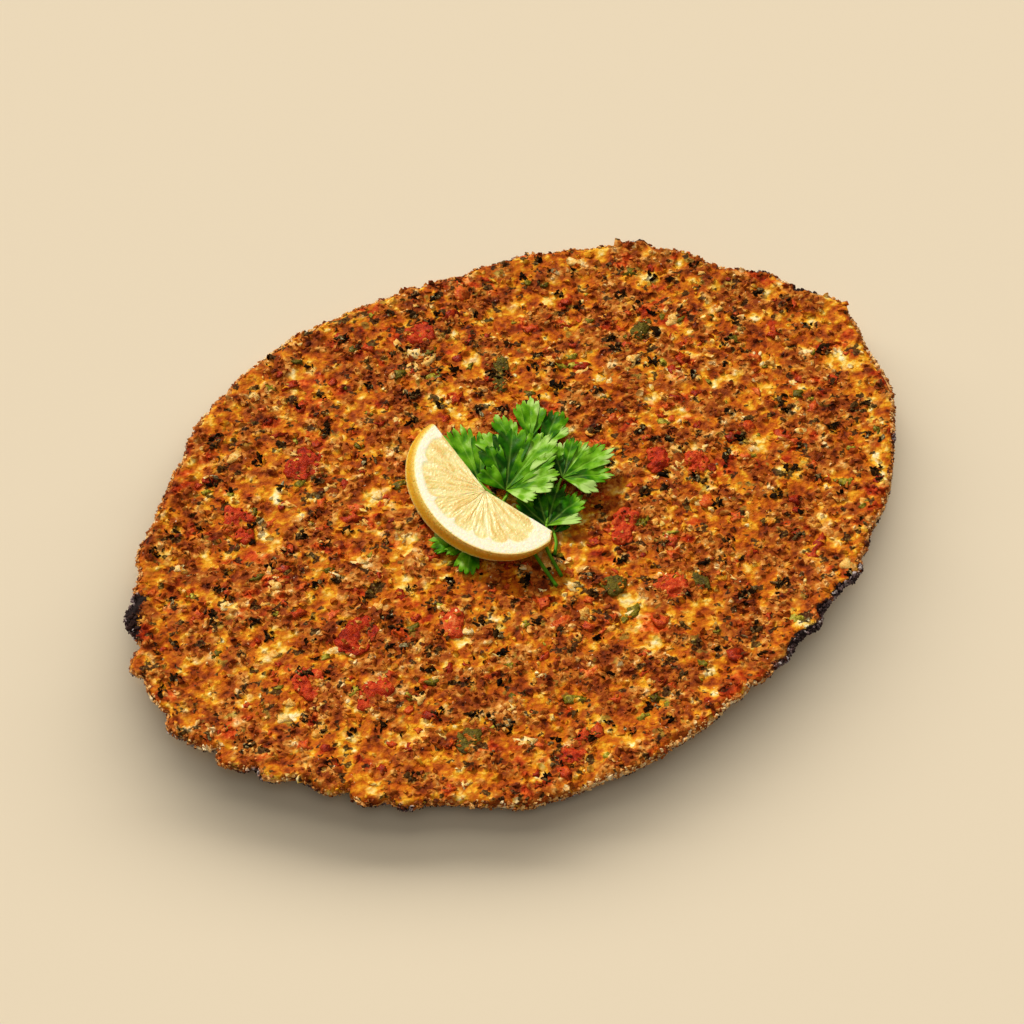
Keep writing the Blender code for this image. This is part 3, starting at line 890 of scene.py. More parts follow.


# %% [markdown]
# ## Grains along the rim
#
# The mince runs over the lip in a rough crust of grains, so hardly any smooth dough shows from above. Grains
# are laid along the profile of the lip, from its side to its top, and take the burnt and pale stretches of
# the bread: black and purple-brown with painted grey glints on the blister and the front right, cream and gold
# elsewhere. Grains low on the side of the lip are darker.

# %% Scatter the rim grains
LIP_PATH = np.array([(0.25, 0.8), (0.0, 1.5), (0.1, 2.0), (0.5, 2.7), (1.3, 3.6), (2.6, 4.4)])
LIP_STEPS = np.arange(len(LIP_PATH))
RIM_GRAINS = 4200
rng = np.random.default_rng(57)
angles = rng.uniform(0, TURN, RIM_GRAINS)
angles = angles[rng.random(RIM_GRAINS) > 0.25 * pale_at(angles, 0.0)]
along_lip = rng.uniform(0, LIP_STEPS[-1], len(angles)) ** 0.9
lip_inset = np.interp(along_lip, LIP_STEPS, LIP_PATH[:, 0]) * MM
lip_height = np.interp(along_lip, LIP_STEPS, LIP_PATH[:, 1]) * MM + curl(angles, lip_inset)
reach = edge_reach(angles) - lip_inset
grain_sizes = sizes_of(rng, len(angles), 1.25, 0.9, 0.75, 0.32) * (0.62 + 0.38 * ease(along_lip, 1.2, 3))[:, None]
turn = angles + math.pi / 2 + 0.5 * rng.standard_normal(len(angles))
places = np.column_stack(plan_place(angles, reach))
points, faces, tones = lay_bits(rng, crumb_shapes, crumb_faces, places, grain_sizes, turn, 0.5, 0.5, lip_height)
# Grains low on the side of the lip are made darker, through the same number as the burns.
darker_low_on_lip = np.repeat(ease(along_lip, 1.7, 0.7) * (0.55 + 0.8 * around(angles, 6 * MM, 84)), crumb_shapes.shape[1])
rim_grain, rim_shader, spot = new_finish("rim_grain", Roughness=0.5, Specular_IOR_Level=0.15)
tone, char, pale = stored(spot, "tone"), stored(spot, "char"), stored(spot, "pale")
bite = spot.cloud(0.7 * MM, 3, 0.6).spread(1.6)
browned = (tone * 0.7 + bite * 0.5 + pale * 0.34 - char * 0.4 - 0.2).ramp(
    (0.08, 72, 28, 10), (0.26, 140, 66, 20), (0.44, 196, 112, 42), (0.6, 230, 164, 88), (0.78, 244, 200, 130),
    (0.98, 254, 232, 186))
# The burnt ramp's palest greys are painted glints on the charred grains.
burnt = (tone * 0.55 + bite * 0.55 + (1 - char) * 0.7 - 0.12).ramp(
    (0.1, 18, 11, 12), (0.4, 40, 26, 28), (0.58, 74, 52, 54), (0.76, 118, 96, 98), (0.95, 184, 174, 176))
feed(rim_shader, Base_Color=(char * 1.5 + tone * 0.4 - 0.45).between(0.25, 0.6).blend(browned, burnt),
     Roughness=0.75 - bite * 0.4, Normal=bite.bump(0.4 * MM))
add_piece("rim_grains", points, faces, rim_grain, "baked_dough", tone=tones,
          char=np.maximum(burnt_of(*points.T[:2]), darker_low_on_lip), pale=pale_of(*points.T[:2])).data.shade_flat()


# %% [markdown]
# ## Herbs
#
# Chopped parsley in the mince dries to dark flakes that cling together in little heaps, the palest of them
# greyish, with painted near-white glints on the palest. A heap is a handful of small crumpled flakes, each
# turned and tipped its own way.

# %% Scatter the herb flakes
def heaps(rng, middles, least, most, wide):
    """Several places round each middle."""
    counts = rng.integers(least, most + 1, len(middles))
    from_middle = rng.standard_normal((counts.sum(), 2)) * (wide * DRAWN_OUT, wide)
    return np.repeat(middles, counts, axis=0) + from_middle


HEAP_SPACING = 8.8 * MM
HEAP_SPREAD = 1.0 * MM
FLAKES_IN_HEAP = (3, 16)
FLAKE_SIZE = (1.7, 1.0, 0.65)
FLAKE_MARGIN = 1.6 * MM
herb, herb_shader, spot = new_finish("dried_herb", Roughness=0.5, Specular_IOR_Level=0.02)
tone, bite = stored(spot, "tone"), spot.cloud(0.7 * MM, 3, 0.6)
# The ramp's top, near white, is a painted glint on the flakes.
herb_colour_and_glints = (tone * 0.8 + bite * 0.5 - 0.15).ramp(
    (0.1, 14, 7, 3), (0.46, 34, 20, 8), (0.66, 58, 37, 14), (0.8, 94, 67, 34), (0.9, 150, 136, 94),
    (0.98, 228, 226, 192))
feed(herb_shader, Base_Color=herb_colour_and_glints, Roughness=0.6 - bite * 0.35, Normal=bite.bump(0.3 * MM))
flake_shapes, flake_faces = bit_shapes(1, 1.2, 12, seed=40)
rng = np.random.default_rng(17)
middles = sprinkle(rng, HEAP_SPACING, lambda x, y: 0.45 - 0.2 * gold_at(x, y) - 0.4 * pale_of(x, y))
places = heaps(rng, middles, *FLAKES_IN_HEAP, HEAP_SPREAD)
places = places[well_inside(*places.T, FLAKE_MARGIN)]
points, faces, tones = scatter(rng, flake_shapes, flake_faces, places, FLAKE_SIZE,
                               spread=0.34, loose=0.9, tipping=0.5, sunk=0.08)
add_piece("herb_flakes", points, faces, herb, "spiced_mince", tone=tones).data.shade_flat()


# %% [markdown]
# ## Chopped vegetables
#
# Small bits of tomato, pale onion and green pepper lie all through the mince. They are softer and rounder than
# crumbs, so their base shapes have more points. Tomato is wet and red, onion is cream turning gold, and pepper
# is olive to yellow-green. Sizes are in millimetres: length, width and height.

# %% Scatter the chopped vegetables
SOFT_MARGIN = 4.5 * MM
soft_shapes, soft_faces = bit_shapes(2, 1.5, 14, squareness=1.15, seed=80)


def soft_finish(name, roughness, *stops):
    """A wet material whose colour varies from bit to bit and over each one."""
    made, shader, spot = new_finish(name, Roughness=roughness, Specular_IOR_Level=0.16)
    mixed = stored(spot, "tone") * 0.45 + spot.cloud(1.1 * MM, 4, 0.65).spread(2.6) * 0.55
    feed(shader, Base_Color=mixed.ramp(*stops), Normal=spot.cloud(0.8 * MM, 3, 0.6).bump(0.5 * MM))
    return made


def scatter_soft(name, finish, slot, seed, spacing, keep, size, sunk):
    """All the bits of one vegetable as one piece. Their places keep clear of the rim."""
    rng = np.random.default_rng(seed)
    places = sprinkle(rng, spacing, keep, SOFT_MARGIN)
    points, faces, tones = scatter(rng, soft_shapes, soft_faces, places, size,
                                   spread=0.3, loose=0.6, tipping=0.2, sunk=sunk)
    return add_piece(name, points, faces, finish, slot, tone=tones)


tomato_bit = soft_finish("tomato_bit", 0.35, (0.05, 100, 20, 3), (0.35, 162, 40, 6),
                         (0.58, 204, 74, 16), (0.8, 232, 118, 42), (1.0, 248, 178, 98))
onion_bit = soft_finish("onion_bit", 0.4, (0.05, 196, 104, 20), (0.35, 230, 156, 48),
                        (0.62, 248, 206, 116), (0.9, 255, 238, 190))
pepper_bit = soft_finish("pepper_bit", 0.35, (0.1, 66, 56, 6), (0.45, 116, 104, 16),
                         (0.7, 172, 158, 40), (0.9, 214, 206, 90))
scatter_soft("tomato_bits", tomato_bit, "cooked_tomato", 27, 8 * MM, lambda x, y: 0.22 + 0.5 * red_at(x, y),
             (3.6, 2.6, 1.3), 0.62)
scatter_soft("onion_bits", onion_bit, "spiced_mince", 37, 10.5 * MM, lambda x, y: 0.25 + 0.5 * gold_at(x, y),
             (3.9, 2.5, 1.1), 0.68)
scatter_soft("pepper_bits", pepper_bit, "green_pepper", 47, 12 * MM, lambda x, y: 0.4 + 0 * x, (3.4, 2.0, 1.0), 0.55)


# %% [markdown]
# ## Large pieces of tomato and pepper
#
# The solids already say where each large piece lies, how long and wide it is and which way it points: that is
# read from the solid's points in the plan, by finding the direction in which they spread most.

# %% Measure a solid in the plan
def lying(node):
    """Centre, half length, half width and direction of a solid seen from above, and its highest point."""
    points = np.array([v.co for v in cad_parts[node].data.vertices])
    flat = points[:, :2] - points[:, :2].mean(0)
    axis = np.linalg.svd(flat, full_matrices=False)[2][0]
    along, across = flat @ axis, flat @ (-axis[1], axis[0])
    centre = points[:, :2].mean(0) + axis * (along.max() + along.min()) / 2
    return centre, np.ptp(along) / 2, np.ptp(across) / 2, math.atan2(axis[1], axis[0]), points[:, 2].max()


print("first tomato piece:", [round(v / MM, 1) for v in lying("tomato_piece_1")[1:3]], "mm half sizes")


# %% [markdown]
# Heat has shrunk and wrinkled the pieces, and they have sunk into the mince. Each visible piece is a blocky ball
# in the solid's place, pushed about with noise at three sizes, less so upwards than sideways. Its colour gives
# way to that of oil and mince towards its foot.

# %% Shape the large pieces
PIECES_SUNK = 1.2 * MM
LEAST_HALF_HEIGHT = 1.1 * MM


def cooked_chunk(node, squareness, lumpiness, seed):
    """Points and faces of one softened piece where its solid lies."""
    ball, faces = unit_ball(5)
    centre, half_length, half_width, direction, top = lying(node)
    base = float(ground(*centre)) - PIECES_SUNK
    half_height = max((top - base) / 2, LEAST_HALF_HEIGHT)
    points = []
    for unit in ball:
        local = Vector(blocky(unit, squareness) * (half_length, half_width, half_height))
        where = local / MM + Vector((seed * 7.3, 0, 0))
        push = 1.5 * noise.noise(where * 0.16) + 0.7 * noise.noise(where * 0.45) + 0.3 * noise.noise(where * 1.3)
        local += Vector((unit[0], unit[1], unit[2] * 0.7)) * (push - 0.25) * lumpiness * MM
        x, y = turned(local.x, local.y, direction)
        points.append(Vector((centre[0] + x, centre[1] + y, base + half_height + local.z)))
    return np.array(points), faces


def join(parts):
    """Several lots of points and faces as one. Each lot has its tone, and each point its rise above the
    topping in millimetres."""
    points, faces, tones, rises, start = [], [], [], [], 0
    for number, (some_points, some_faces) in enumerate(parts):
        points.append(some_points)
        faces.append(some_faces + start)
        tones.append(np.full(len(some_points), (number * 0.618) % 1))
        rises.append((some_points[:, 2] - ground(*some_points.T[:2])) / MM)
        start += len(some_points)
    return np.concatenate(points), np.concatenate(faces), np.concatenate(tones), np.concatenate(rises)


def place_large(name, start, finish, slot, squareness, lumpiness, seed=0):
    """One visible piece that stands for all the solids whose names start like this. Gives its parts."""
    nodes = sorted(nodes_called(start))
    parts = [cooked_chunk(node, squareness, lumpiness, seed + i) for i, node in enumerate(nodes)]
    points, faces, tones, rises = join(parts)
    add_piece(name, points, faces, finish, slot, nodes_called(start), tone=tones, rise=rises)
    return parts


def settled(spot, own):
    """A piece's own colour on top, broken into the colours of oil and mince towards its foot."""
    rise = stored(spot, "rise")
    mixture = topping_colour(spot, lighter=-0.04, meat=0.3, gold=0.15, red=0.5)[0]
    shows = (rise * 1.3 + spot.cloud(1.8 * MM, 3, 0.6).spread(2) - 0.4).between(0.3, 0.65)
    return shows.blend(mixture, own)


print("a piece of tomato has", len(cooked_chunk("tomato_piece_1", 1.25, 1.7, 0)[0]), "points")


# %% [markdown]
# Roasted tomato goes from deep red to the orange of its flesh, and pepper has gone olive. Both are wet, so
# they shine more than the meat.

# %% Finish and place the large pieces
cooked, cooked_shader, spot = new_finish("roasted_tomato", Roughness=0.35, Specular_IOR_Level=0.15)
patchy, grainy = spot.cloud(2.6 * MM, 4, 0.6), spot.cloud(0.8 * MM, 4, 0.65, 2)
flesh = (patchy.spread(2.4) * 0.6 + grainy.spread(2) * 0.4 + stored(spot, "tone") * 0.2 - 0.12).ramp(
    (0.12, 118, 20, 4), (0.3, 168, 36, 8), (0.5, 204, 60, 18), (0.7, 228, 98, 38), (0.9, 246, 156, 88))
feed(cooked_shader, Base_Color=settled(spot, flesh), Normal=(grainy + patchy).bump(0.7 * MM))
tomato_parts = place_large("tomato_pieces", "tomato", cooked, "cooked_tomato", 1.25, 1.7)

roasted, roasted_shader, spot = new_finish("roasted_pepper", Roughness=0.35, Specular_IOR_Level=0.15)
patchy, grainy = spot.cloud(2.2 * MM, 4, 0.6), spot.cloud(0.7 * MM, 4, 0.65, 2)
olive = (patchy.spread(2) * 0.55 + grainy.spread(2) * 0.45).ramp(
    (0.1, 38, 30, 4), (0.4, 78, 66, 10), (0.62, 112, 100, 22), (0.85, 160, 148, 54))
feed(roasted_shader, Base_Color=settled(spot, olive), Normal=(grainy + patchy).bump(0.6 * MM))
pepper_parts = place_large("pepper_pieces", "pepper", roasted, "green_pepper", 1.4, 1.2, 20)


# %% [markdown]
# Crumbs also lie on the large pieces, mostly round their edges, and tie them into the mince. Each crumb takes
# its height from the pieces: the highest point near by, where every millimetre away costs three of height.

# %% Crumbs on the large pieces
def on_top_of(parts, places):
    """Height of the pieces at each place."""
    tops = np.concatenate([points for points, _ in parts])
    tops = tops[tops[:, 2] - ground(*tops.T[:2]) > 0.1 * MM]
    nearest = [np.argmax(tops[:, 2] - 3 * np.hypot(tops[:, 0] - x, tops[:, 1] - y)) for x, y in places]
    return tops[nearest, 2]


CRUMBS_TRIED = 46
CRUMBS_LEFT = 0.42
SMALL_CRUMB = (1.4, 0.95, 0.75)
rng = np.random.default_rng(67)
places = []
for node in nodes_called("tomato") + nodes_called("pepper"):
    centre, half_length, half_width, direction, _ = lying(node)
    angles = rng.uniform(0, TURN, CRUMBS_TRIED)
    out = rng.uniform(0.15, 1.05, CRUMBS_TRIED) ** 0.4
    u, v = half_length * out * np.cos(angles), half_width * out * np.sin(angles)
    places.append(centre + np.column_stack(turned(u, v, direction)))
places = np.concatenate(places)
places = places[rng.random(len(places)) < CRUMBS_LEFT]
heights = on_top_of(tomato_parts + pepper_parts, places)
points, faces, tones = scatter(rng, crumb_shapes, crumb_faces, places, SMALL_CRUMB,
                               spread=0.3, loose=0.8, tipping=0.5, sunk=0.45, height=heights)
on_pieces = {**maps_at(points), "meat": np.full(len(points), 0.7)}
add_piece("crumbs_on_pieces", points, faces, crumb, "spiced_mince", tone=tones, char=burnt_of(*points.T[:2]),
          **on_pieces).data.shade_flat()


# %% [markdown]
# ## Welding
#
# A sheet made of spokes has many points on top of each other where the spokes meet. Welding turns them into
# one, drops the faces that had no area, and turns all faces outwards.

# %% Weld the doubled points of a piece
def weld_points(piece, distance):
    """Joins the points of a piece that lie within this distance of each other."""
    mesh = bmesh.new()
    mesh.from_mesh(piece.data)
    bmesh.ops.remove_doubles(mesh, verts=mesh.verts, dist=distance)
    bmesh.ops.dissolve_degenerate(mesh, edges=mesh.edges, dist=distance / 10)
    bmesh.ops.recalc_face_normals(mesh, faces=mesh.faces)
    mesh.to_mesh(piece.data)
    mesh.free()
    print(piece.name, "has", len(piece.data.vertices), "points after welding")


# %% [markdown]
# ## The slice of lemon
#
# Half of a thick lemon slice lies across the parsley. Its fibres and segments all run to the core, in the
# middle of the straight cut, so the face is built as a sheet of spokes from the core. Each spoke goes out
# along the face, over the rim, down the rind and back under. Two end walls close the straight cut. The slice
# is an oval, with one of its two tips a little blunt.

# %% The lemon's outline
CORE = (-12.6 * MM, 4.7 * MM)
LEMON_TURN = math.radians(97.8)
FACE_Z = 16.0 * MM
LEMON_THICKNESS = 8.6 * MM
LEMON_LEAN = 4.6 * MM
LEMON_BULGE = 0.03
OVAL_HALF = (32.3 * MM, 24.4 * MM)
OVAL_MIDDLE = (1.5 * MM, -3.6 * MM)
OVAL_TURN = math.radians(-10)
BLUNT_TIP = 1.9 * MM
SPOKES = 420
FACE_RINGS = 70
WALL_RINGS = 12


def rind_reach(angle):
    """Distance from the core to the rind, where a spoke meets the oval."""
    ux, uy = turned(*plan_place(angle, 1), -OVAL_TURN)
    px, py = turned(-OVAL_MIDDLE[0], -OVAL_MIDDLE[1], -OVAL_TURN)
    along, across = OVAL_HALF
    ux, uy, px, py = ux / along, uy / across, px / along, py / across
    a, b, d = ux**2 + uy**2, ux * px + uy * py, px**2 + py**2 - 1
    return (-b + np.sqrt(b * b - a * d)) / a - BLUNT_TIP * ease(np.degrees(angle), 184, 192)


def oval_point(angle):
    """The point of the oval in this direction, counted from the core."""
    x, y = turned(OVAL_HALF[0] * math.cos(angle), OVAL_HALF[1] * math.sin(angle), OVAL_TURN)
    return OVAL_MIDDLE[0] + x, OVAL_MIDDLE[1] + y


first_tip, last_tip = oval_point(math.radians(9)), oval_point(math.radians(199))
first_turn = math.atan2(first_tip[1], first_tip[0])
last_turn = math.atan2(last_tip[1], last_tip[0]) % TURN
spokes = np.linspace(first_turn, last_turn, SPOKES)
print("lemon spokes from", round(math.degrees(first_turn)), "to", round(math.degrees(last_turn)), "degrees")


# %% [markdown]
# The pulp ends where the white pith begins, and is notched towards the core between segments. Juice sacs are
# long drops that point at the core. They are drawn as noise that changes quickly from spoke to spoke and slowly
# along one. Thin walls between the segments are raised. The pith stands a little proud, as it does when pulp
# dries.

# %% Relief of the cut face
MEMBRANES = np.radians([-7, 16, 58, 96, 124, 142, 160, 190])
MEMBRANE_WIDTH = 0.42 * MM
PITH = (3.5 * MM, 5.2 * MM)
PITH_AT_TIPS = (0.9 * MM, 2.9 * MM)
NOTCH = 1.7 * MM


def pulp_reach(angle):
    """Where the pulp ends on each spoke. The pith is wider on the last side, and widest at the tips."""
    degrees = np.degrees(angle)
    pith = PITH[0] + (PITH[1] - PITH[0]) * ease(degrees, 60, 175)
    pith = pith + PITH_AT_TIPS[0] * ease(degrees, 20, -8) + PITH_AT_TIPS[1] * ease(degrees, 168, 190)
    nearest = np.abs(angle[..., None] - MEMBRANES).min(-1)
    notch = NOTCH * np.exp(-((nearest / math.radians(3.2)) ** 2))
    return rind_reach(angle) - pith - notch


def sacs(angle, reach):
    """Long drops that point at the core: from -1 to 1."""
    wander = 0.05 * hills(angle * 0.03, reach, 5 * MM, 203)
    a = (angle + wander) * 16 * MM
    coarse = hills(a, reach * 0.22, 1.25 * MM, 201)
    middle = hills(a, reach * 0.3, 0.62 * MM, 202)
    return 0.6 * coarse + 0.4 * middle


share = np.linspace(0, 1, FACE_RINGS) ** 0.85
angle_of, share_of = np.meshgrid(spokes, share, indexing="ij")
reach_of = (rind_reach(angle_of) - 0.4 * MM) * share_of
pulp_edge = pulp_reach(angle_of)
in_pulp = ease(pulp_edge - reach_of, -0.5 * MM, 0.8 * MM)
nearest_membrane = np.abs(angle_of[..., None] - MEMBRANES).min(-1) * reach_of
membrane = np.exp(-((nearest_membrane / MEMBRANE_WIDTH) ** 2)) * in_pulp * ease(reach_of, 2 * MM, 6 * MM)
at_core = 1 - ease(reach_of, 0.6 * MM, 3.2 * MM)
drops = sacs(angle_of, reach_of)
face_relief = in_pulp * (0.18 * drops - 0.06) + 0.05 * membrane
face_relief = face_relief + 0.2 * at_core * hills(*plan_place(angle_of, reach_of), 1.1 * MM, 205)
face_depth = 0.42 * MM - MM * face_relief - 0.06 * MM * (1 - in_pulp) * (1 - share_of**12)
print("pulp covers", f"{in_pulp.mean():.0%}", "of the face's points")


# %% [markdown]
# Places on the slice are turned into places in the frame by `in_slice`. The face, the rind and the underside
# then go side by side into one grid, a row for each spoke, and four numbers go with every point: pulp, rind,
# drop and skin.

# %% Lay out the slice
def in_slice(u, v, depth):
    """A place in the slice: u along the cut, v towards the rind, and a depth below the face. The slice leans
    along the cut and swells a little between its faces."""
    share = depth / LEMON_THICKNESS
    swell = 1 + LEMON_BULGE * np.sin(0.8 * math.pi * share)
    u = OVAL_MIDDLE[0] + LEMON_LEAN * share + swell * (u - OVAL_MIDDLE[0])
    v = OVAL_MIDDLE[1] + swell * (v - OVAL_MIDDLE[1])
    x, y = turned(u, v, LEMON_TURN)
    return np.stack([CORE[0] + x, CORE[1] + y, FACE_Z - depth], -1)


drops_down = (np.arange(WALL_RINGS) + 0.5) / WALL_RINGS
wall_angle, wall_drop = np.meshgrid(spokes, drops_down, indexing="ij")
pores = hills(wall_angle * 28 * MM, wall_drop * 8 * MM, 1.1 * MM, 211)
wall_reach = rind_reach(wall_angle) - 0.55 * MM * np.abs(2 * wall_drop - 1) ** 7 + 0.06 * MM * pores
wall = in_slice(*plan_place(wall_angle, wall_reach), 0.5 * MM + (LEMON_THICKNESS - 0.8 * MM) * wall_drop)
face = in_slice(*plan_place(angle_of, reach_of), face_depth)
under_depth = LEMON_THICKNESS - (0.05 + 0.1 * in_pulp * (1 - drops)) * MM
underneath = in_slice(*plan_place(angle_of, 0.985 * reach_of), under_depth)[:, ::-1]
lemon_grid = np.concatenate([face, wall, underneath], 1)
columns = lemon_grid.shape[1]
zone_pulp = np.concatenate([in_pulp, 0 * wall_drop, in_pulp[:, ::-1]], 1)
zone_rind = np.concatenate([ease(share_of, 0.972, 0.999), 1 + 0 * wall_drop, ease(share_of, 0.95, 0.99)[:, ::-1]], 1)
zone_drop = np.concatenate([drops, pores, drops[:, ::-1]], 1)
zone_skin = np.concatenate([membrane + 2 * at_core, wall_drop, (membrane + 2 * at_core)[:, ::-1]], 1)
lemon_points = lemon_grid.reshape(-1, 3)
lemon_faces = grid_faces(SPOKES, columns)[:, ::-1].tolist()
numbers = [zone_pulp.ravel(), zone_rind.ravel(), zone_drop.ravel(), zone_skin.ravel()]
print("lemon grid:", SPOKES, "spokes of", columns, "points")


# %% [markdown]
# The straight cut is open between the first spoke and the underside, and again at the last one. A small wavy
# grid of points closes each, with the rind's own points at its outer end.

# %% Close the straight cut
for end, flip in ((0, 1), (SPOKES - 1, -1)):
    top_line = lemon_grid[end, :FACE_RINGS]
    low_line = lemon_grid[end, columns - FACE_RINGS:][::-1]
    rows = top_line[:, None] + (low_line - top_line)[:, None] * drops_down[None, :, None]
    rows[-1] = lemon_grid[end, FACE_RINGS:FACE_RINGS + WALL_RINGS]
    cap = np.concatenate([top_line[:, None], rows, low_line[:, None]], 1)
    wavy = hills(np.linspace(0, 30, FACE_RINGS)[:, None] * MM, np.linspace(0, 9, WALL_RINGS + 2)[None] * MM * 0.3,
                 0.9 * MM, 221 + end)
    outward = np.array([math.sin(spokes[end] + LEMON_TURN), -math.cos(spokes[end] + LEMON_TURN), 0]) * flip
    cap[1:-1, 1:-1] += (0.25 * MM * wavy)[1:-1, 1:-1, None] * outward
    start = len(lemon_points)
    lemon_points = np.concatenate([lemon_points, cap.reshape(-1, 3)])
    cap_faces = grid_faces(FACE_RINGS, WALL_RINGS + 2) + start
    lemon_faces += (cap_faces if flip == 1 else cap_faces[:, ::-1]).tolist()
    lines = (in_pulp[end], ease(share, 0.972, 0.999), drops[end], at_core[end])
    numbers = [np.concatenate([number, np.repeat(line, WALL_RINGS + 2)]) for number, line in zip(numbers, lines)]
print("lemon points before welding:", len(lemon_points))


# %% [markdown]
# Pulp is a pale gold with whitish walls between its segments, pith is a creamy yellow-white, and the rind is an
# ochre yellow full of oil pores, painted brighter towards its foot to lift the shade that falls there. A little
# light passes through the slice, so it gets subsurface scattering and stays bright in its own hollows.

# %% Finish of the lemon
lemon, lemon_shader, spot = new_finish("lemon_slice", Roughness=0.32, Subsurface_Weight=0.25, Subsurface_Scale=0.002)
pulp, rind, drop, skin = (stored(spot, name) for name in ("pulp", "rind", "drop", "skin"))
fibre = spot.cloud(0.9 * MM, 3, 0.6)
juice = (drop * 0.5 + 0.5 + fibre.spread(2) * 0.3 - 0.15).ramp(
    (0.1, 250, 242, 192), (0.36, 245, 230, 160), (0.6, 238, 212, 132), (0.9, 228, 184, 92))
walls = (skin * 0.3).blend(juice, paint(250, 240, 194))
pith = fibre.ramp((0.3, 247, 242, 204), (0.55, 250, 248, 224), (0.75, 252, 252, 240))
# The rind's colour is painted brighter towards its foot, to lift the shade that falls there.
peel_with_painted_fill = (skin + spot.cloud(0.6 * MM, 3, 0.6, 3).spread(2.4) * 0.3 - 0.15).ramp(
    (0.0, 244, 214, 110), (0.18, 226, 178, 54), (0.42, 232, 174, 32), (0.62, 252, 202, 52), (0.82, 255, 240, 162))
inside = pulp.blend(pith, walls)
dimple = (0.3 - spot.cells(1.3 * MM)).between(0, 0.16)
feed(lemon_shader, Base_Color=rind.blend(inside, peel_with_painted_fill), Roughness=0.45 - pulp * 0.16,
     Normal=(fibre * (1 - rind * 0.5) - dimple * rind).bump(0.25 * MM))
lemon_piece = add_piece("lemon_half_slice_detail", lemon_points, lemon_faces, lemon, "lemon", ["lemon_half_slice"],
                        pulp=numbers[0], rind=numbers[1], drop=numbers[2], skin=numbers[3])
weld_points(lemon_piece, 0.004 * MM)
lemon_piece.data.set_sharp_from_angle(angle=math.radians(50))


# %% [markdown]
# ## Parsley
#
# A flat-leaf parsley leaf is a hand of lobes, each widening from the stalk and ending in blunt teeth, with a
# vein down its middle. Every lobe is made on its own as a thin closed sheet of spokes from the leaf's base.
# For each, a heading, a half-width and a length are given, as one would note them from a real sprig. Lobes
# spread a little towards their tips, so that neighbours overlap as they do when a sprig is laid down. Each one
# is then arched, pleated along its vein and rippled at its edge.

# %% Outline of a lobe
LEAF_ROWS = 15
LOBE_SPOKES = 45
LEAF_THICKNESS = 0.3 * MM


def lobe_outline(across, teeth, seed):
    """Length along a spoke as a share of the lobe's length. across runs from -1 to 1 over the lobe."""
    crooked = across + 0.09 * hills(across, 0 * across, 0.4, seed)
    out = np.abs(crooked)
    cut = np.abs(np.cos(crooked * math.pi * teeth / 2)) ** 0.55
    nick = np.abs(np.cos(crooked * math.pi * teeth * 1.5)) ** 0.6
    ragged = 0.05 * hills(across, 0 * across, 0.22, seed + 1)
    return (1 - 0.22 * out**2) * (0.75 + 0.2 * cut + 0.06 * nick + ragged) * (1 - 0.3 * ease(out, 0.86, 1.0))


print("a lobe's outline at its middle and sides:", lobe_outline(np.array([0, 0.5, 1.0]), 3, 1).round(2))


# %% [markdown]
# A lobe's points are spread over its outline in the plan and then given a height: rising and drooping along
# the lobe, pleated along the vein, rippled at the edge and quilted between the side veins. A second sheet just
# below and a strip round the edge make it solid.

# %% Shape one lobe
def lobe_solid(base, rise, droop, seed, heading, half_width, length, teeth, tone):
    """Points, faces, and the vein, tone and edge numbers of a lobe as a thin closed solid."""
    share = np.linspace(0, 1, LEAF_ROWS) ** 0.8
    across, share_of = np.meshgrid(np.linspace(-1, 1, LOBE_SPOKES), share, indexing="ij")
    out = share_of * lobe_outline(across, teeth, seed)
    flare = 1.12 - 0.1 * out
    turn = np.radians(heading + across * half_width * flare)
    reach = length * MM * out
    x, y = base[0] * MM + reach * np.cos(turn), base[1] * MM + reach * np.sin(turn)
    width = length * math.radians(half_width)
    pleat = 0.13 * width * (np.abs(across) ** 1.4 - 0.4) * out - 0.1 * width * ease(np.abs(across), 0.6, 1.2) * out**3
    ripple = 0.85 * hills(x, y, 4.2 * MM, seed) * out + 0.35 * hills(x, y, 1.8 * MM, seed + 7) * out
    from_rib = np.abs(across) * width * out
    between = (from_rib * 0.62 - out * length * 0.5) * 1.1
    quilt = 0.3 * np.abs(np.sin(between)) * ease(out, 0.15, 0.5)
    z = MM * (base[2] + rise * out - droop * out**2 + pleat + ripple + quilt)
    midrib = np.exp(-((from_rib / 0.28) ** 2)) * (1 - 0.6 * out)
    vein = np.clip(midrib + 0.25 * np.abs(np.cos(between)) ** 12 * ease(out, 0.12, 0.3), 0, 1)
    # Painted light and shade: lighter on the raised quilting, darker in its hollows, and lighter on one side of the
    # lobe than the other. It also mottles at random and grows lighter towards the tip.
    tone_with_painted_light = tone + 0.34 * hills(x, y, 3 * MM, seed + 3) - 0.1 * across + 0.2 * (out - 0.55) + 0.8 * (quilt - 0.15)
    upper = np.stack([x, y, z], -1).reshape(-1, 3)
    count = len(upper)
    ids = np.arange(count).reshape(LOBE_SPOKES, LEAF_ROWS)
    rim_ids = np.concatenate([ids[0, :-1], ids[:-1, -1], ids[-1, :0:-1]])
    rim_next = np.append(rim_ids[1:], ids[-1, 0])
    sides = np.stack([rim_ids, rim_next, rim_next + count, rim_ids + count], 1)
    top = grid_faces(LOBE_SPOKES, LEAF_ROWS)
    faces = np.concatenate([top, top[:, ::-1] + count, sides])
    points = np.concatenate([upper, upper - (0, 0, LEAF_THICKNESS)])
    return points, faces, *(np.tile(values.ravel(), 2) for values in (vein, tone_with_painted_light, out))


